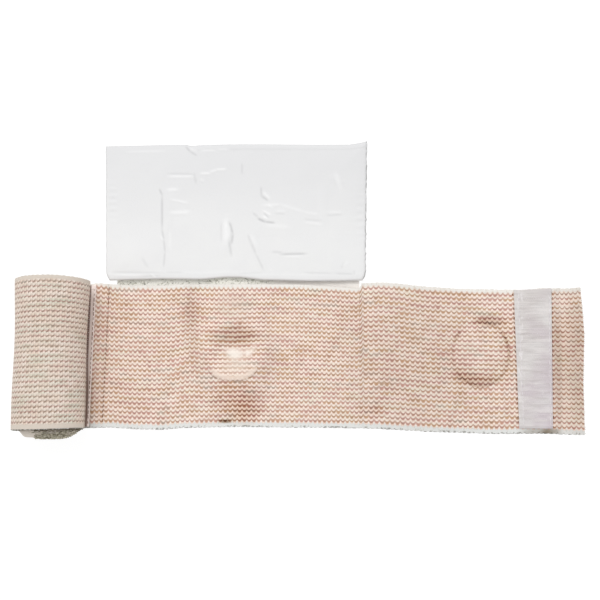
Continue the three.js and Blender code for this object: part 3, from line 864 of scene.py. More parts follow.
def print_ring(knit):
    """The narrow ring that the cup has printed into the knit further along, darkened partly with
    painted shade.
    """
    x, y, _ = knit.split(knit.place())
    along = (x - PRINT.x * MM) * (1 / (PRINT.half_x * MM))
    out = (y - PRINT.y * MM) * (1 / (PRINT.half_y * MM))
    away = (along * along + out * out) ** 0.5
    line = knit.step(abs(away - 0.97), 0.085, 0.02)
    return line * knit.attribute("ring")


def rim_marks(knit):
    """Where the knit over the cup's front rim is painted plain and pale as a highlight, and the
    painted shadow line just outside it.
    """
    x, y, _ = knit.split(knit.place())

    def inside_out(oval):
        along = abs((x - oval.x * MM) * (1 / (oval.half_x * MM)))
        out = abs((y - oval.y * MM) * (1 / (oval.half_y * MM)))
        return (along ** oval.power + out ** oval.power) ** (1 / oval.power)

    front = knit.step(y, (RIM.y - 7) * MM, (RIM.y - 12) * MM)
    rim, inner = inside_out(RIM), inside_out(RIM_INSIDE)
    rim_highlight = knit.step(rim, 1.02, 0.98) * knit.step(inner, 0.95, 1.03) * front
    left, inside = RIM.x - 0.95 * RIM.half_x, RIM.x - 0.7 * RIM.half_x
    rim_highlight = rim_highlight * knit.step(x, left * MM, inside * MM)
    edge = knit.step(abs(rim - 1.035), 0.03, 0.005) * front
    return rim_highlight, edge


def padding_finish():
    """Soft white nonwoven with faint fibres, painted greyer towards its far edge as shade, with
    painted shade in its creases' troughs and at its edges and a painted highlight on their ridges.
    """
    padding = Finish("padding", Roughness=0.72, Sheen_Weight=0.1, Specular_IOR_Level=0.3)
    place = padding.place()
    _, y, _ = padding.split(place)
    cloud = padding.noise(place, 60.0, 3.0)
    fibre = padding.noise(place, 1400.0, 3.0, 0.7)
    # Painted shade: the cover is made greyer towards its far edge.
    far = padding.step(y, 20 * MM, 100 * MM)
    colour = padding.blend(cloud, rgb(229, 229, 230), rgb(234, 234, 233))
    colour = padding.blend(far, colour, rgb(222, 222, 223))
    # Painted shade in the creases' troughs and a painted highlight on their ridges.
    crease = padding.attribute("crease")
    troughs = padding.math("MAXIMUM", 0.0 - crease, 0.0)
    ridges = padding.math("MAXIMUM", crease, 0.0)
    colour = padding.blend(troughs * 1.1, colour, rgb(160, 160, 162))
    colour = padding.blend(ridges * 1.6, colour, rgb(246, 246, 246))
    colour = padding.blend(fibre * 0.1, colour, rgb(204, 204, 204))
    # Painted shade along the pad's edges, from the edge attribute.
    padding.colour(padding.blend(padding.attribute("edge"), colour, rgb(128, 126, 124)))
    padding.relief(fibre, 0.1)
    return padding.material


def backing_finish():
    """Thin mottled gauze, pale grey with a green tint."""
    gauze = Finish("backing", Roughness=0.85, Specular_IOR_Level=0.2)
    place = gauze.place()
    mottle = gauze.noise(place, 700.0, 3.0, 0.7)
    drift = gauze.noise(place, 40.0, 2.0)
    specks = gauze.noise(place, 520.0, 2.0, 0.6)
    pale = gauze.blend(drift, rgb(252, 250, 245), rgb(247, 247, 236))
    dark = gauze.blend(drift, rgb(190, 188, 182), rgb(178, 179, 156))
    colour = gauze.blend(gauze.step(mottle, 0.5, 0.68), pale, dark)
    colour = gauze.blend(gauze.step(specks, 0.6, 0.7) * 0.7, colour, rgb(92, 90, 82))
    x, _, _ = gauze.split(place)
    ragged = x + (mottle - 0.5) * (GAUZE.ragged * MM)
    plain = gauze.step(ragged, GAUZE.plain_from * MM, GAUZE.plain_full * MM)
    gauze.colour(gauze.blend(plain * 0.93, colour, rgb(248, 243, 238)))
    gauze.relief(mottle, 0.35)
    return gauze.material


def hook_finish():
    """White hook tape with uneven ribs, a little lilac in front, painted paler beside the roll and
    with the roll's painted shadow close to it.
    """
    tape = Finish("hook", Roughness=0.75, Specular_IOR_Level=0.35)
    place = tape.place()
    x, y, _ = tape.split(place)
    streak = tape.patchy(x * 60, y * 520, detail=2.0)
    broad = tape.patchy(x * 44, y * 240, 3.0)
    cloud = tape.noise(place, 55.0, 2.0)
    looks = TAPE_LOOKS
    lilac = tape.step(cloud + y * -3.2 + (x - looks.middle * MM) * 12, 0.55, 1.0)
    colour = tape.blend(lilac, rgb(220, 216, 214), rgb(212, 202, 209))
    colour = tape.blend(tape.step(cloud, 0.35, 0.65) * 0.3, colour, rgb(200, 191, 186))
    colour = tape.blend(tape.step(streak, 0.46, 0.7) * 0.38, colour, rgb(186, 178, 175))
    colour = tape.blend(tape.step(broad, 0.5, 0.68) * 0.5, colour, rgb(234, 229, 227))
    from_seam = abs(x - (END_TAPE.left_back + looks.worn) * MM)
    seam = tape.step(from_seam, looks.worn_half * MM, looks.worn_core * MM)
    worn = seam * tape.step(tape.patchy(x * 420, y * 150, 8.0, 2.0), 0.54, 0.64)
    colour = tape.blend(worn * 0.7, colour, rgb(238, 234, 234))
    # Painted light: the tape is paler beside the roll.
    lit_beside_roll = tape.step(x, looks.lit_beside_from * MM, looks.lit_beside_full * MM)
    colour = tape.blend(lit_beside_roll, colour, rgb(250, 236, 230))
    # Painted shadow where the tape runs in under the roll.
    past_roll = x - y * looks.slant - (ROLL.x + ROLL_TAPE.roll_side) * MM
    deeper = tape.step(y, looks.deeper_from * MM, looks.deeper_full * MM)
    past_roll = past_roll - deeper * (looks.deeper * MM)
    shadow = tape.step(past_roll, looks.shadow * MM, looks.shadow_core * MM)
    tape.colour(tape.blend(shadow * 0.9, colour, rgb(112, 82, 68)))
    fine = tape.math("SINE", y * (2 * math.pi / (0.95 * MM)))
    tape.relief(fine * 0.2 + streak * 0.6, 0.3)
    return tape.material


def plastic_finish():
    """Off-white moulded plastic with a fine grain."""
    plastic = Finish("cup_plastic", Roughness=0.45)
    place = plastic.place()
    cloud = plastic.noise(place, 90.0, 2.0)
    grain = plastic.noise(place, 1800.0, 2.0)
    plastic.colour(plastic.blend(cloud, rgb(230, 229, 222), rgb(238, 237, 230)))
    plastic.relief(grain, 0.05)
    return plastic.material


def thread_finish(name, pale, dark):
    """Spun thread in one colour, with a little unevenness."""
    thread = Finish(name, Roughness=0.85, Specular_IOR_Level=0.25)
    place = thread.place()
    thread.colour(thread.blend(thread.step(thread.noise(place, 500.0, 2.0), 0.3, 0.7), pale, dark))
    thread.relief(thread.noise(place, 3000.0, 2.0), 0.1)
    return thread.material


KNIT_FINISH = knit_finish()
PADDING_FINISH = padding_finish()
BACKING_FINISH = backing_finish()
HOOK_FINISH = hook_finish()
PLASTIC_FINISH = plastic_finish()
CREAM_THREAD = thread_finish("cream_thread", rgb(238, 235, 228), rgb(216, 212, 204))
GREY_THREAD = thread_finish("grey_thread", rgb(222, 221, 217), rgb(112, 108, 100))
BROWN_THREAD = thread_finish("brown_thread", rgb(140, 98, 72), rgb(104, 68, 48))
TAN_THREAD = thread_finish("tan_thread", rgb(208, 182, 164), rgb(182, 150, 130))
# Dark and olive threads for the roll's front end, put there as painted shade.
CORE_SHADE_THREAD = thread_finish("core_shade_thread", rgb(216, 210, 190), rgb(114, 108, 86))
RIM_SHADE_THREAD = thread_finish("rim_shade_thread", rgb(138, 130, 110), rgb(70, 64, 48))
WHITE_THREAD = thread_finish("white_thread", rgb(240, 236, 238), rgb(216, 210, 213))

# The elastic wrap: one cloth, loose at the right and wound up at the left


def loose_stretch():
    """Points of the loose wrap from its cut end to the middle of the roll's underside."""
    seam = np.arange(SEAMS.right - STEP.before_seam, SEAMS.right + STEP.past_seam, STEP.seam)
    xs = np.unique(np.concatenate([between(ROLL.x, CUT.x, STEP.wrap), seam]))[::-1]
    u, v = np.meshgrid(xs, np.linspace(0, 1, LINES.wrap), indexing="ij")
    pulled = read_table(CUT_END, v, "x") - CUT.x
    x = u + pulled * clamp01((u - CUT.pulled_from) / (CUT.x - CUT.pulled_from))
    y = mix(*selvages(u), v)
    x = x + roll_lean(y) * smooth((ROLL.x + ROLL.lean_over - u) / ROLL.lean_over)
    low = wrap_underside(x, y)
    steps = -np.diff(xs) / read_table(STRETCHES, (xs[1:] + xs[:-1]) / 2, "ratio")
    length = np.concatenate([[0], np.cumsum(steps)])
    flat = stacked(length[:, None], v * KNIT.width - row_ride(x, y))
    return stacked(x, y, low + WRAP_THICK), stacked(x, y, low), flat


def row_ride(x, y):
    """How far the rows lie towards +Y of where they would be in a smooth cloth."""
    ride = np.zeros_like(x)
    for bend in ROW_RIDES:
        beside = np.where(x < bend.x, (bend.x - x) / bend.before, (x - bend.x) / bend.after)
        ride += bend.rise * smooth(1 - beside) * smooth(1 - np.abs(y - bend.y) / bend.half_y)
    return ride


def roll_lean(y):
    middle = (ROLL.front + ROLL.back) / 2
    return ROLL.lean * (y - middle) / (ROLL.back - ROLL.front)


def wound_points(turn, across, depth):
    """Points of the wound cloth after so many turns, at a depth into its thickness."""
    angle = -math.pi / 2 - 2 * math.pi * turn
    cosine = np.cos(angle)
    wound = ROLL.pitch * turn + depth
    square = mix(ROLL.front, ROLL.back, across)
    waist = WAIST.depth * smooth(1 - np.abs(square - WAIST.y) / WAIST.half)
    outer = ROLL.width / 2 + ROLL.taper * (across - 0.5) / 2 - waist
    inward = 1 - wound / (ROLL.width / 2)
    half_width = outer * inward
    rim = CORE.rim + CORE.rim_shift * cosine
    tip = CORE.tip + CORE.tip_shift * cosine
    slid = np.sin(math.pi / 2 * clamp01((rim - half_width) / (rim - tip)))
    slant = mix(ROLL_ENDS.front_slant, ROLL_ENDS.back_slant, across)
    bow = mix(ROLL_ENDS.front_bow, ROLL_ENDS.back_bow, across)
    y = square - inward * (slant * cosine + bow * cosine ** 2)
    y = y - slid * (CORE.slide + CORE.tilt * half_width * cosine)
    half_height = (ROLL.height + ROLL.sunk) / 2
    centre = ROLL.height - half_height
    swell = 1 + ROLL.uneven * np.sin(angle) ** 2 * np.sin(3 * angle + y / 17)
    x = ROLL.x + roll_lean(square) + swell * half_width * cosine
    z = np.maximum(wound, centre + swell * (half_height - wound) * np.sin(angle))
    return stacked(x, y, z)


def wound_stretch(start_length):
    """Points of the wound cloth, from the roll's underside to its core."""
    turns = [WINDING.start]
    while turns[-1] < ROLL.turns:
        steps = max(WINDING.least, WINDING.next - WINDING.fewer * turns[-1])
        turns.append(turns[-1] + 1 / (WINDING.outer if turns[-1] < WINDING.outer_turns else steps))
    turn, across = np.meshgrid(turns, np.linspace(0, 1, LINES.wound), indexing="ij")
    inner = wound_points(turn, across, WRAP_THICK)
    outer = wound_points(turn, across, 0.0)
    middle = (inner + outer)[:, LINES.wound // 2] / 2
    steps = np.linalg.norm(np.diff(middle, axis=0), axis=1)
    length = start_length + np.concatenate([[0], np.cumsum(steps)])
    return inner, outer, stacked(length[:, None], across * KNIT.width)


def mark_values(points, marks):
    """Sum of a list of soft marks at each point of the loose wrap."""
    x, y, _ = points.T
    value = np.zeros(len(points))
    for mark in marks:
        away = np.hypot((x - mark.x) / mark.half_x, (y - mark.y) / mark.half_y)
        value += mark.tone * smooth(1.25 * (1 - away))
    return np.where(x < ROLL.x + ROLL.width / 2, 0, value)


def shaded_from(y):
    """Where the dark loops that paint shade in the roll's front end begin, further left towards
    its tip.
    """
    return ROLL.x - ROLL_END_SHADING.reach * clamp01((ROLL.front - ROLL_END_SHADING.start - y) / ROLL_END_SHADING.soft)


def roll_end_marks(points):
    """How much painted shade the turns in the roll's front end get, and how much painted light
    pales them at its left.
    """
    x, y, z = points.T
    centre = (ROLL.height - ROLL.sunk) / 2
    out = np.hypot(x - ROLL.x, (z - centre) * ROLL.width / (ROLL.height + ROLL.sunk))
    left = smooth((shaded_from(y) + ROLL_END_SHADING.pale_from - x) / ROLL_END_SHADING.pale_soft)
    inner = smooth((ROLL.width / 2 - ROLL_END_SHADING.edge - out) / ROLL_END_SHADING.edge_soft)
    inner = inner * smooth((ROLL.front + ROLL_END_SHADING.depth - y) / ROLL_END_SHADING.depth)
    rim = smooth((out - ROLL_END_SHADING.rim) / ROLL_END_SHADING.rim_soft)
    end_shade = inner * mix(mix(ROLL_END_SHADING.end_shade, ROLL_END_SHADING.end_shade_left, left), 1.0, rim)
    return end_shade, ROLL_END_SHADING.pale * inner * left * (1 - rim)


def groove_shade(points, outer):
    """How dark the roll's side is, low down and towards its front, where the wrap leaves it."""
    x, y, z = points.T
    widest = outer[outer[..., 0].argmax(axis=0), np.arange(outer.shape[1])]
    past = x - np.interp(y, widest[:, 1], widest[:, 0])
    beside = smooth((past + GROOVE.width) / GROOVE.soft) * smooth(GROOVE.past - past)
    low = smooth((GROOVE.top - z) / GROOVE.top_soft)
    return GROOVE.shade * beside * low * smooth((GROOVE.start - y) / GROOVE.along)


def knit_wrap():
    sheet = Sheet()
    top, bottom, flat = loose_stretch()
    loose = sheet.grid(top, bottom, flat)
    inner, outer, wound_flat = wound_stretch(flat[-1, 0, 0])
    wound = sheet.grid(inner, outer, wound_flat)
    sheet.cap_start(*loose)
    sheet.join(loose, wound)
    sheet.cap_end(*wound)
    piece = sheet.object("knit_wrap", KNIT_FINISH)
    points = np.concatenate(sheet.points)
    # Painted light and shade: tone from the marks and the paler left of the roll's end, shade from
    # the marks, the roll's end and the groove beside it.
    end_shade, pale = roll_end_marks(points)
    shade = mark_values(points, SHADE_MARKS) + end_shade + groove_shade(points, outer)
    add_numbers(piece.data, "tone", mark_values(points, KNIT_MARKS) + pale)
    add_numbers(piece.data, "shade", shade)
    add_numbers(piece.data, "ring", mark_values(points, RING_MARKS))
    add_numbers(piece.data, "flatter", mark_values(points, FLAT_MARKS))
    return piece, wound_flat[-1, 0, 0]


# The dressing pad and the layer that it hangs on


def with_fine_edges(length, step):
    """Places from 0 to 1 along a length, closer together where the edges are rounded."""
    fine = np.array([0, 0.04, 0.16, 0.36, 0.64, 1.0, 1.4, 2.0])
    plain = between(fine[-1], length - fine[-1], step)[1:-1]
    return np.concatenate([fine, plain, (length - fine)[::-1]]) / length


def rounding(inset, radius, height):
    """How far a rounded edge of this radius and height lies under the face that it ends."""
    return height * (1 - np.sqrt(1 - (1 - clamp01(inset / radius)) ** 2))


def pad_gathers(x, y):
    height = np.zeros_like(x)
    for gather in PAD_GATHERS:
        near = smooth(1 - np.abs(x - gather.x) / gather.half_x)
        near = near * smooth(1 - np.abs(y - gather.y) / gather.half_y)
        height += GATHER_HEIGHT * near * np.sin(y * 2 * math.pi / gather.wave)
    return height


def pad_hems(x, inset_far, inset_near):
    """Bands where the cover is folded in along its long edges, the near one a little wavy."""
    hems = PAD_HEMS
    far_on = smooth((x - hems.far_from - hems.slant * inset_far) / hems.far_soft)
    far = hems.far_height * far_on * smooth((hems.far - inset_far) / hems.soft)
    near = hems.near + hems.swing * np.sin(x / hems.wave) - inset_near
    return far + hems.near_height * smooth(near / hems.soft)


def pad_heights(x, y, left, right, lower, upper):
    """The pad's top and its underside, and the creases of its cover."""
    fine = PAD_FINE
    inset = np.minimum(np.minimum(x - left, right - x), np.minimum(y - lower, upper - y))
    rise = np.sin(math.pi / 2 * clamp01(inset / PAD.shoulder))
    crown = PAD.edge + (PAD.thick - PAD.edge) * rise
    lift = BACKING_THICK + CLEAR
    lifted = lift * (1 - smooth((y - PAD.under) / PAD.under_soft))
    lifted_top = lift * (1 - smooth((y - PAD.top_from) / PAD.top_soft))
    folds = fold_height(PAD_FOLDS, x, y) * clamp01(inset / PAD.folds_from)
    creases = fold_height(PAD_CREASES, x, y)
    creases = np.where(creases < 0, fine.trough, fine.ridge) * creases
    relief = creases + pad_gathers(x, y) + pad_hems(x, upper - y, y - lower)
    soft = PAD_LUMPS.wide_height * unevenness(x, y, PAD_LUMPS.wide, 7)
    soft = soft + PAD_LUMPS.narrow_height * unevenness(x, y, PAD_LUMPS.narrow, 8)
    top = lifted_top + crown + folds + relief * clamp01(inset / fine.creases_from)
    top = top + soft * clamp01(inset / fine.lumps_from)
    end = rounding(right - x, fine.end_radius, fine.end_drop) * smooth(inset / fine.ends_from)
    top = top - rounding(inset, fine.edge_radius, fine.edge_drop) - end
    under = rounding(inset, fine.under_radius, fine.edge_drop)
    return top, lifted + under * smooth((lifted + 0.2) / 0.2), creases


def pad_edge_shade(x, y, left, right, upper):
    """How dark the pad's cover is where it is pinched at its right end, and at other edges."""
    look = PAD_SHADE
    pinched = look.pinched + look.pinches * unevenness(x, y, look.pinch_size, 9)
    end = look.end * clamp01(pinched) * smooth(1 - (right - x) / look.end_width)
    others = np.minimum(upper - y, x - left)
    return end + look.edges * smooth(1 - others / look.edges_width)


def pad_piece():
    along = with_fine_edges(PAD_FINE.length, STEP.pad)
    u, v = np.meshgrid(along[::-1], with_fine_edges(PAD_FINE.width, STEP.pad), indexing="ij")
    left = mix(PAD.left_lower, PAD.left_upper, v)
    right = mix(PAD.right_lower, PAD.right_upper, v)
    lower, upper = (read_table(PAD_EDGES, u, side) for side in ("lower", "upper"))
    y = mix(lower, upper, v)
    rounded = PAD_FINE.corner * clamp01(1 - (y - lower) / PAD_FINE.corner_reach) ** 2
    rough_right = PAD_FINE.right_rough * unevenness(0 * y, y, PAD_FINE.right_size, 12)
    rough_left = PAD_FINE.left_rough * unevenness(0 * y, y, PAD_FINE.left_size, 14)
    right, left = right - rounded + rough_right, left + rounded + rough_left
    x = mix(left, right, u)
    top, bottom, creases = pad_heights(x, y, left, right, lower, upper)
    flat = stacked(x - PAD.left_upper, y)
    piece = layer_piece("pad_envelope", x, y, top, bottom, flat, PADDING_FINISH, sharp=70)
    edge = pad_edge_shade(x, y, left, right, upper).ravel()
    add_numbers(piece.data, "edge", np.concatenate([edge, PAD_SHADE.under * edge]))
    add_numbers(piece.data, "crease", np.concatenate([creases.ravel(), 0 * creases.ravel()]))
    return piece


def backing_piece():
    columns = np.linspace(0, 1, LINES.backing_y)
    u, v = np.meshgrid(np.linspace(1, 0, LINES.backing_x), columns, indexing="ij")
    x = mix(mix(BACKING.left_front, BACKING.left_back, v), BACKING.right, u)
    y = mix(BACKING.front, BACKING.back, v)
    thin = GAUZE.thinned * (1 + unevenness(x, y, GAUZE.size, 11)) * smooth(v * 4)
    top = BACKING_THICK - thin
    return layer_piece("gauze_layer", x, y, top, 0 * x, stacked(x, y), BACKING_FINISH)


# Hook tapes


def tape_underside(x, y):
    return wrap_top(x, y) + CLEAR


def tape_piece(name, tape):
    columns = np.linspace(0, 1, LINES.tape_y)
    u, v = np.meshgrid(np.linspace(1, 0, LINES.tape_x), columns, indexing="ij")
    left, right = tape.left(v), tape.right(v)
    x = mix(left, right, u)
    back = tape.back + tape.rise * u
    y = mix(tape.front, back, v)
    low = tape_underside(x, y)
    side = np.minimum(x - left, right - x)
    sewn = TAPE.sunk * smooth(1 - np.abs(side - TAPE.seam) / TAPE.seam_half)
    end = TAPE.fold_height * smooth(TAPE.fold - (back - y))
    edge = TAPE.side_drop * smooth(1 - side / TAPE.side_radius)
    thin_end = TAPE.thin_front * smooth(1 - (y - tape.front) / TAPE.thin_reach)
    top = low + TAPE_THICK - sewn + end - edge - thin_end
    return layer_piece(name, x, y, top, low, stacked(x, y), HOOK_FINISH)


class Sides(namedtuple("Sides", "left right front back rise")):
    """Where a tape lies: its two sides, its two ends, and how far its back end rises."""

    def share(self, y):
        """How far from the front end to the back one y lies, from 0 to 1."""
        return (y - self.front) / (self.back - self.front)


def end_tape_sides():
    def left(v):
        return mix(END_TAPE.left_front, END_TAPE.left_back, v)

    def right(v):
        return mix(END_TAPE.right_front, END_TAPE.right_back, v)

    lower, upper = selvages(END_TAPE.left_back)
    front, back = float(lower + END_TAPE.inset_front), float(upper - END_TAPE.inset_back)
    return Sides(left, right, front, back, END_TAPE.back_rise)


def roll_tape_sides():
    def right(v):
        return mix(ROLL_TAPE.right_front, ROLL_TAPE.right_back, v)

    def left(v):
        return right(v) - ROLL_TAPE.width

    return Sides(left, right, ROLL_TAPE.front, ROLL_TAPE.back, 0.0)


# Sewing, loops and hooks: bent lengths of thread set out on points


def thread_tree():
    """Geometry Nodes that set a bent thread on every point, along the directions stored there."""
    tree = bpy.data.node_groups.new("thread_work", "GeometryNodeTree")
    interface = tree.interface
    interface.new_socket("Points", in_out="INPUT", socket_type="NodeSocketGeometry")
    for name in ("Length", "Height", "Thread", "Turn", "Uneven"):
        interface.new_socket(name, in_out="INPUT", socket_type="NodeSocketFloat")
    interface.new_socket("Seed", in_out="INPUT", socket_type="NodeSocketInt")
    interface.new_socket("Finish", in_out="INPUT", socket_type="NodeSocketMaterial")
    interface.new_socket("Threads", in_out="OUTPUT", socket_type="NodeSocketGeometry")
    given = tree.nodes.new("NodeGroupInput").outputs

    def node(kind, settings, sockets, output=0):
        made = tree.nodes.new(kind)
        for key, value in settings.items():
            setattr(made, key, value)
        for key, value in sockets.items():
            if isinstance(value, bpy.types.NodeSocket):
                tree.links.new(value, made.inputs[key])
            else:
                made.inputs[key].default_value = value
        return made.outputs[output]

    def math_node(operation, a, b):
        return node("ShaderNodeMath", {"operation": operation}, {0: a, 1: b})

    def vector_named(name):
        settings = {"data_type": "FLOAT_VECTOR"}
        return node("GeometryNodeInputNamedAttribute", settings, {"Name": name})

    arc = {"Resolution": 6, "Radius": 1.0, "Start Angle": 0.0, "Sweep Angle": math.pi}
    bend = node("GeometryNodeCurveArc", {"mode": "RADIUS"}, arc)
    half = math_node("MULTIPLY", given["Length"], 0.5)
    size = node("ShaderNodeCombineXYZ", {}, {0: half, 1: given["Height"], 2: 1.0})
    bend = node("GeometryNodeTransform", {}, {"Geometry": bend, "Scale": size})
    around = {"Resolution": 5, "Radius": given["Thread"]}
    ring = node("GeometryNodeCurvePrimitiveCircle", {}, around)
    sweep = {"Curve": bend, "Profile Curve": ring, "Fill Caps": True}
    thread = node("GeometryNodeCurveToMesh", {}, sweep)

    axes = {"primary_axis": "X", "secondary_axis": "Y"}
    directions = {0: vector_named("along"), 1: vector_named("up")}
    facing = node("FunctionNodeAxesToRotation", axes, directions)
    low_turn = math_node("MULTIPLY", given["Turn"], -1.0)
    least = node("ShaderNodeCombineXYZ", {}, {0: low_turn, 1: low_turn, 2: low_turn})
    most = node("ShaderNodeCombineXYZ", {}, {0: given["Turn"], 1: given["Turn"], 2: given["Turn"]})
    random = {"Min": least, "Max": most, "Seed": given["Seed"]}
    turned = node("FunctionNodeRandomValue", {"data_type": "FLOAT_VECTOR"}, random)
    turned = node("FunctionNodeEulerToRotation", {}, {0: turned})
    local = {"rotation_space": "LOCAL"}
    facing = node("FunctionNodeRotateRotation", local, {0: facing, 1: turned})
    smallest = math_node("SUBTRACT", 1.0, given["Uneven"])
    largest = math_node("ADD", 1.0, given["Uneven"])
    random = {2: smallest, 3: largest, 8: given["Seed"]}
    grown = node("FunctionNodeRandomValue", {"data_type": "FLOAT"}, random, 1)
    laid = {"Points": given["Points"], "Instance": thread, "Rotation": facing, "Scale": grown}
    threads = node("GeometryNodeInstanceOnPoints", {}, laid)
    threads = node("GeometryNodeRealizeInstances", {}, {"Geometry": threads})
    threads = node("GeometryNodeSetShadeSmooth", {}, {"Geometry": threads})
    covered = {"Geometry": threads, "Material": given["Finish"]}
    threads = node("GeometryNodeSetMaterial", {}, covered)
    tree.links.new(threads, tree.nodes.new("NodeGroupOutput").inputs["Threads"])
    return tree


THREAD_TREE = thread_tree()


def thread_piece(name, kind, finish, places, along=(0, 1, 0), up=(0, 0, 1)):
    """Threads of one kind on the given places, which point along their length and bulge up."""
    mesh = bpy.data.meshes.new(name)
    mesh.from_pydata(places * MM, [], [])
    for word, directions in (("along", along), ("up", up)):
        layer = mesh.attributes.new(word, "FLOAT_VECTOR", "POINT")
        directions = np.broadcast_to(np.asarray(directions, dtype=np.float32), places.shape)
        layer.data.foreach_set("vector", directions.ravel())
    piece = placed(name, mesh)
    modifier = piece.modifiers.new("threads", "NODES")
    modifier.node_group = THREAD_TREE
    given = {
        "Length": kind.length * MM, "Height": kind.height * MM, "Thread": kind.radius * MM,
        "Turn": kind.turn, "Uneven": kind.uneven, "Seed": kind.seed, "Finish": finish,
    }
    for socket in THREAD_TREE.interface.items_tree:
        if socket.name in given:
            modifier[socket.identifier] = given[socket.name]
    seen = piece.evaluated_get(bpy.context.evaluated_depsgraph_get())
    threads = bpy.data.meshes.new_from_object(seen)
    piece.modifiers.remove(modifier)
    piece.data = threads
    return piece


def on_knit(xs, ys, above):
    """Points at a height above the loose wrap's upper face."""
    return stacked(xs, ys, wrap_top(xs, ys) + above)


def row_ys(x):
    """Where the coral rows cross a line of the loose wrap."""
    across = (KNIT.first_row + KNIT.pitch * np.arange(KNIT.rows)) / KNIT.width
    return mix(*selvages(x), across)


def seam_thread(name, stitch, finish, rows_at, seam_x, first=0):
    """Stitches on a seam, one beside each coral row but the first few."""
    ys = row_ys(rows_at)[first:] + stitch.past_row
    places = on_knit(seam_x(ys) + stitch.beside, ys, stitch.above)
    return thread_piece(name, stitch.thread, finish, places)


def seam_threads():
    tape = end_tape_sides()
    return [
        seam_thread(
            "right_seam_thread", STITCHES.right_seam, TAN_THREAD, SEAMS.right,
            lambda ys: SEAMS.right + 0 * ys,
        ),
        seam_thread(
            "left_seam_thread", STITCHES.left_seam, BROWN_THREAD, SEAMS.left, left_seam_x,
        ),
        # The end tape's side stitches are brown, partly its sewing and partly painted shadow along
        # its edges.
        seam_thread(
            "end_tape_left_seam", STITCHES.tape_left, BROWN_THREAD, tape.left(0.5),
            lambda ys: tape.left(tape.share(ys)), first=1,
        ),
        seam_thread(
            "end_tape_right_seam", STITCHES.tape_right, BROWN_THREAD, tape.right(0.5),
            lambda ys: tape.right(tape.share(ys)),
        ),
    ]


def tape_threads(name, tape, insets, kind, finish, step):
    """Sewing along a tape, in lines inset from its left side or, where negative, its right one."""
    ys = between(tape.front + SEWING.end, tape.back - SEWING.end, step)
    v = tape.share(ys)
    places = []
    for inset in insets:
        xs = (tape.left(v) if inset > 0 else tape.right(v)) + inset
        places.append(stacked(xs, ys, tape_underside(xs, ys) + TAPE_THICK - SEWING.sunk))
    return thread_piece(name, kind, finish, np.concatenate(places))


def tape_hooks(name, tape):
    places = []
    ends = tape.front + HOOKS.end, tape.back - HOOKS.end
    for number, y in enumerate(between(*ends, HOOKS.rows)):
        v = tape.share(y)
        first = tape.left(v) + HOOKS.side + (number % 2) * HOOKS.apart / 2
        xs = np.arange(first, tape.right(v) - HOOKS.side, HOOKS.apart)
        ys = y + 0 * xs
        places.append(stacked(xs, ys, tape_underside(xs, ys) + TAPE_THICK - HOOKS.sunk))
    places = np.concatenate(places)
    return thread_piece(name, THREADS.hooks, WHITE_THREAD, places, (1, 0, 0), (0, 0.25, 0.97))


def wound_edge(across, first, last):
    """Places along an edge of the wound cloth between two turns, and the way it runs there."""
    around = math.pi * (ROLL.width - 4)
    turns = np.arange(first, last, KNIT.wave / around)
    before, places, after = (
        wound_points(turns + shift, across + 0 * turns, WRAP_THICK / 2)
        for shift in (-0.004, 0, 0.004)
    )
    ahead = after - before
    return places, ahead / np.linalg.norm(ahead, axis=1, keepdims=True)


def roll_end_loops():
    """Loops along the turns in the roll's front end, dark threads put there as painted shade,
    darkest at its rim, few at its left.
    """
    pieces = []
    for name, first, last, finish in (
        ("rim", LOOPS.rim, LOOPS.core, RIM_SHADE_THREAD),
        ("core", LOOPS.core, LOOPS.core_end, CORE_SHADE_THREAD),
    ):
        places, along = wound_edge(0, first, last)
        x, y, z = places.T
        kept = (x > shaded_from(y)) | (z > ROLL_END_SHADING.top) | (name == "rim")
        set_on = places[kept], along[kept], (0, -1, 0)
        pieces.append(thread_piece("roll_%s_loops" % name, THREADS.roll_end, finish, *set_on))
    return pieces


def selvage_loops():
    """Loops of yarn along both edges of the loose wrap and of the roll's outer turns."""
    pieces = []
    xs = between(ROLL.x + LOOPS.from_roll, CUT.x - LOOPS.from_cut, KNIT.wave)
    front, back = selvages(xs)
    # The front loops are in grey thread, painted shade on the edge turned from the light; the back
    # ones are cream.
    for name, ys, across, out, last, finish in (
        ("front", front, 0, -1, LOOPS.front_end, GREY_THREAD),
        ("back", back, 1, 1, LOOPS.back_end, CREAM_THREAD),
    ):
        middle = wrap_underside(xs, ys) + WRAP_THICK / 2
        loose = stacked(xs, ys - LOOPS.inside * out, middle)
        wound, ahead = wound_edge(across, LOOPS.start, last)
        places = np.concatenate([loose, wound])
        along = np.concatenate([np.tile((1, 0, 0), (len(xs), 1)), ahead])
        set_on = places, along, (0, out, 0)
        pieces.append(thread_piece(name + "_selvage_loops", THREADS.selvage, finish, *set_on))
    return pieces


def cut_end_fray():
    across = np.linspace(FRAY.first, FRAY.last, FRAY.threads)
    x = read_table(CUT_END, across, "x")
    y = mix(WRAP_EDGES[-1].lower, WRAP_EDGES[-1].upper, across)
    places = stacked(x - FRAY.inside, y, wrap_underside(x, y) + WRAP_THICK / 2)
    return thread_piece("cut_end_fray", THREADS.fray, CREAM_THREAD, places, (1, 0, 0), (0, 1, 0))


# The whole


def put_in(piece, finish_slot, *nodes):
    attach(piece, "root")
    if nodes:
        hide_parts(*nodes)
    return piece


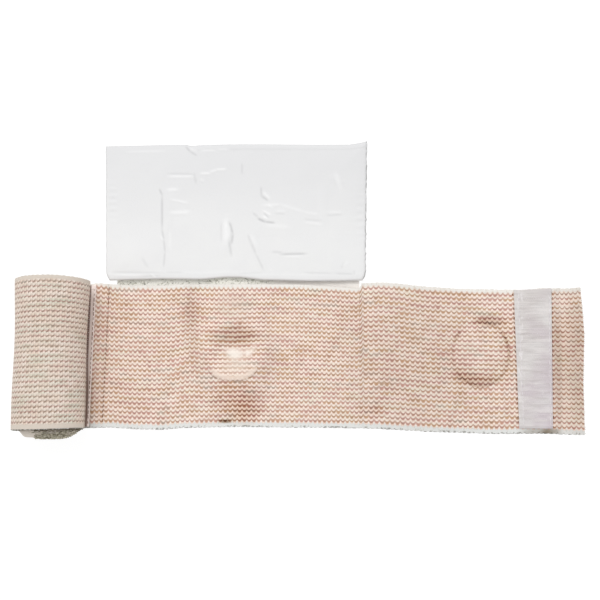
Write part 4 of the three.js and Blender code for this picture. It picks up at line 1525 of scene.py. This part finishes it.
def build():
    wrap, cloth_length = knit_wrap()
    threads = [*selvage_loops(), *roll_end_loops(), cut_end_fray(), *seam_threads()]
    for piece in threads:
        put_in(piece, "knit")
    put_in(wrap, "knit", "elastic_wrap")
    KNIT.width * MM
    cloth_length * MM

    pad = put_in(pad_piece(), "padding", "dressing_pad")

    gauze = put_in(backing_piece(), "backing", "backing_layer")
    wide, deep = BACKING.right - BACKING.left_front, BACKING.back - BACKING.front
    wide * MM
    deep * MM

    white = ((3.0, -1.6), THREADS.white_sewing, WHITE_THREAD, SEWING.white_step)
    brown = ((-0.9,), THREADS.brown_sewing, BROWN_THREAD, KNIT.pitch)
    for name, node, tape, sewn in (
        ("end_tape", "end_hook_tape", end_tape_sides(), white),
        ("roll_tape", "roll_hook_tape", roll_tape_sides(), brown),
    ):
        cloth = put_in(tape_piece(name + "_cloth", tape), "hook", node)
        sewing = put_in(tape_threads(name + "_thread", tape, *sewn), "hook")
        hooks = put_in(tape_hooks(name + "_hooks", tape), "hook")
        wide, deep = abs(float(tape.right(0.5) - tape.left(0.5))), tape.back - tape.front
        wide * MM
        deep * MM

    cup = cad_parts["pressure_cup"]
    for slot in cup.material_slots:
        slot.material = PLASTIC_FINISH


def camera():
    """Nearly overhead, as the photograph was taken, framed for a square picture."""
    aim = Vector((-0.00095, -0.00625, 0.0))
    elevation, distance, angle = math.radians(84), 1.03, math.radians(22.7)
    data = bpy.data.cameras.new("camera")
    data.sensor_fit = "HORIZONTAL"
    data.angle = angle
    data.clip_start, data.clip_end = 0.05, 20
    eye = placed("camera", data)
    back = Vector((0, -math.cos(elevation), math.sin(elevation)))
    eye.location = aim + back * distance
    eye.rotation_mode = "QUATERNION"
    eye.rotation_quaternion = (-back).to_track_quat("-Z", "Y")
    bpy.context.scene.camera = eye


def lamp(name, place, size, power):
    data = bpy.data.lights.new(name, "AREA")
    data.shape, data.size, data.energy = "SQUARE", size, power
    light = placed(name, data)
    light.location = place
    light.rotation_mode = "QUATERNION"
    light.rotation_quaternion = Vector(place).to_track_quat("Z", "Y")


def studio():
    """A white light table under a broad light from behind and an even white surround."""
    half = 3.0
    mesh = bpy.data.meshes.new("table")
    corners = [(-half, -half, 0), (half, -half, 0), (half, half, 0), (-half, half, 0)]
    mesh.from_pydata(corners, [], [(0, 1, 2, 3)])
    white = Finish(
        "table", Base_Color=(0.2, 0.2, 0.2, 1), Roughness=0.9, Specular_IOR_Level=0.0,
        Emission_Color=(1, 1, 1, 1), Emission_Strength=0.88,
    )
    mesh.materials.append(white.material)
    placed("table", mesh)

    world = bpy.data.worlds.new("surround")
    world.use_nodes = True
    world.node_tree.nodes["Background"].inputs["Color"].default_value = (1, 1, 1, 1)
    world.node_tree.nodes["Background"].inputs["Strength"].default_value = 0.7
    bpy.context.scene.world = world
    lamp("window", (-0.35, 0.7, 1.5), 0.7, 12.6)
    bpy.context.scene.view_settings.view_transform = "Standard"


camera()
build()
studio()
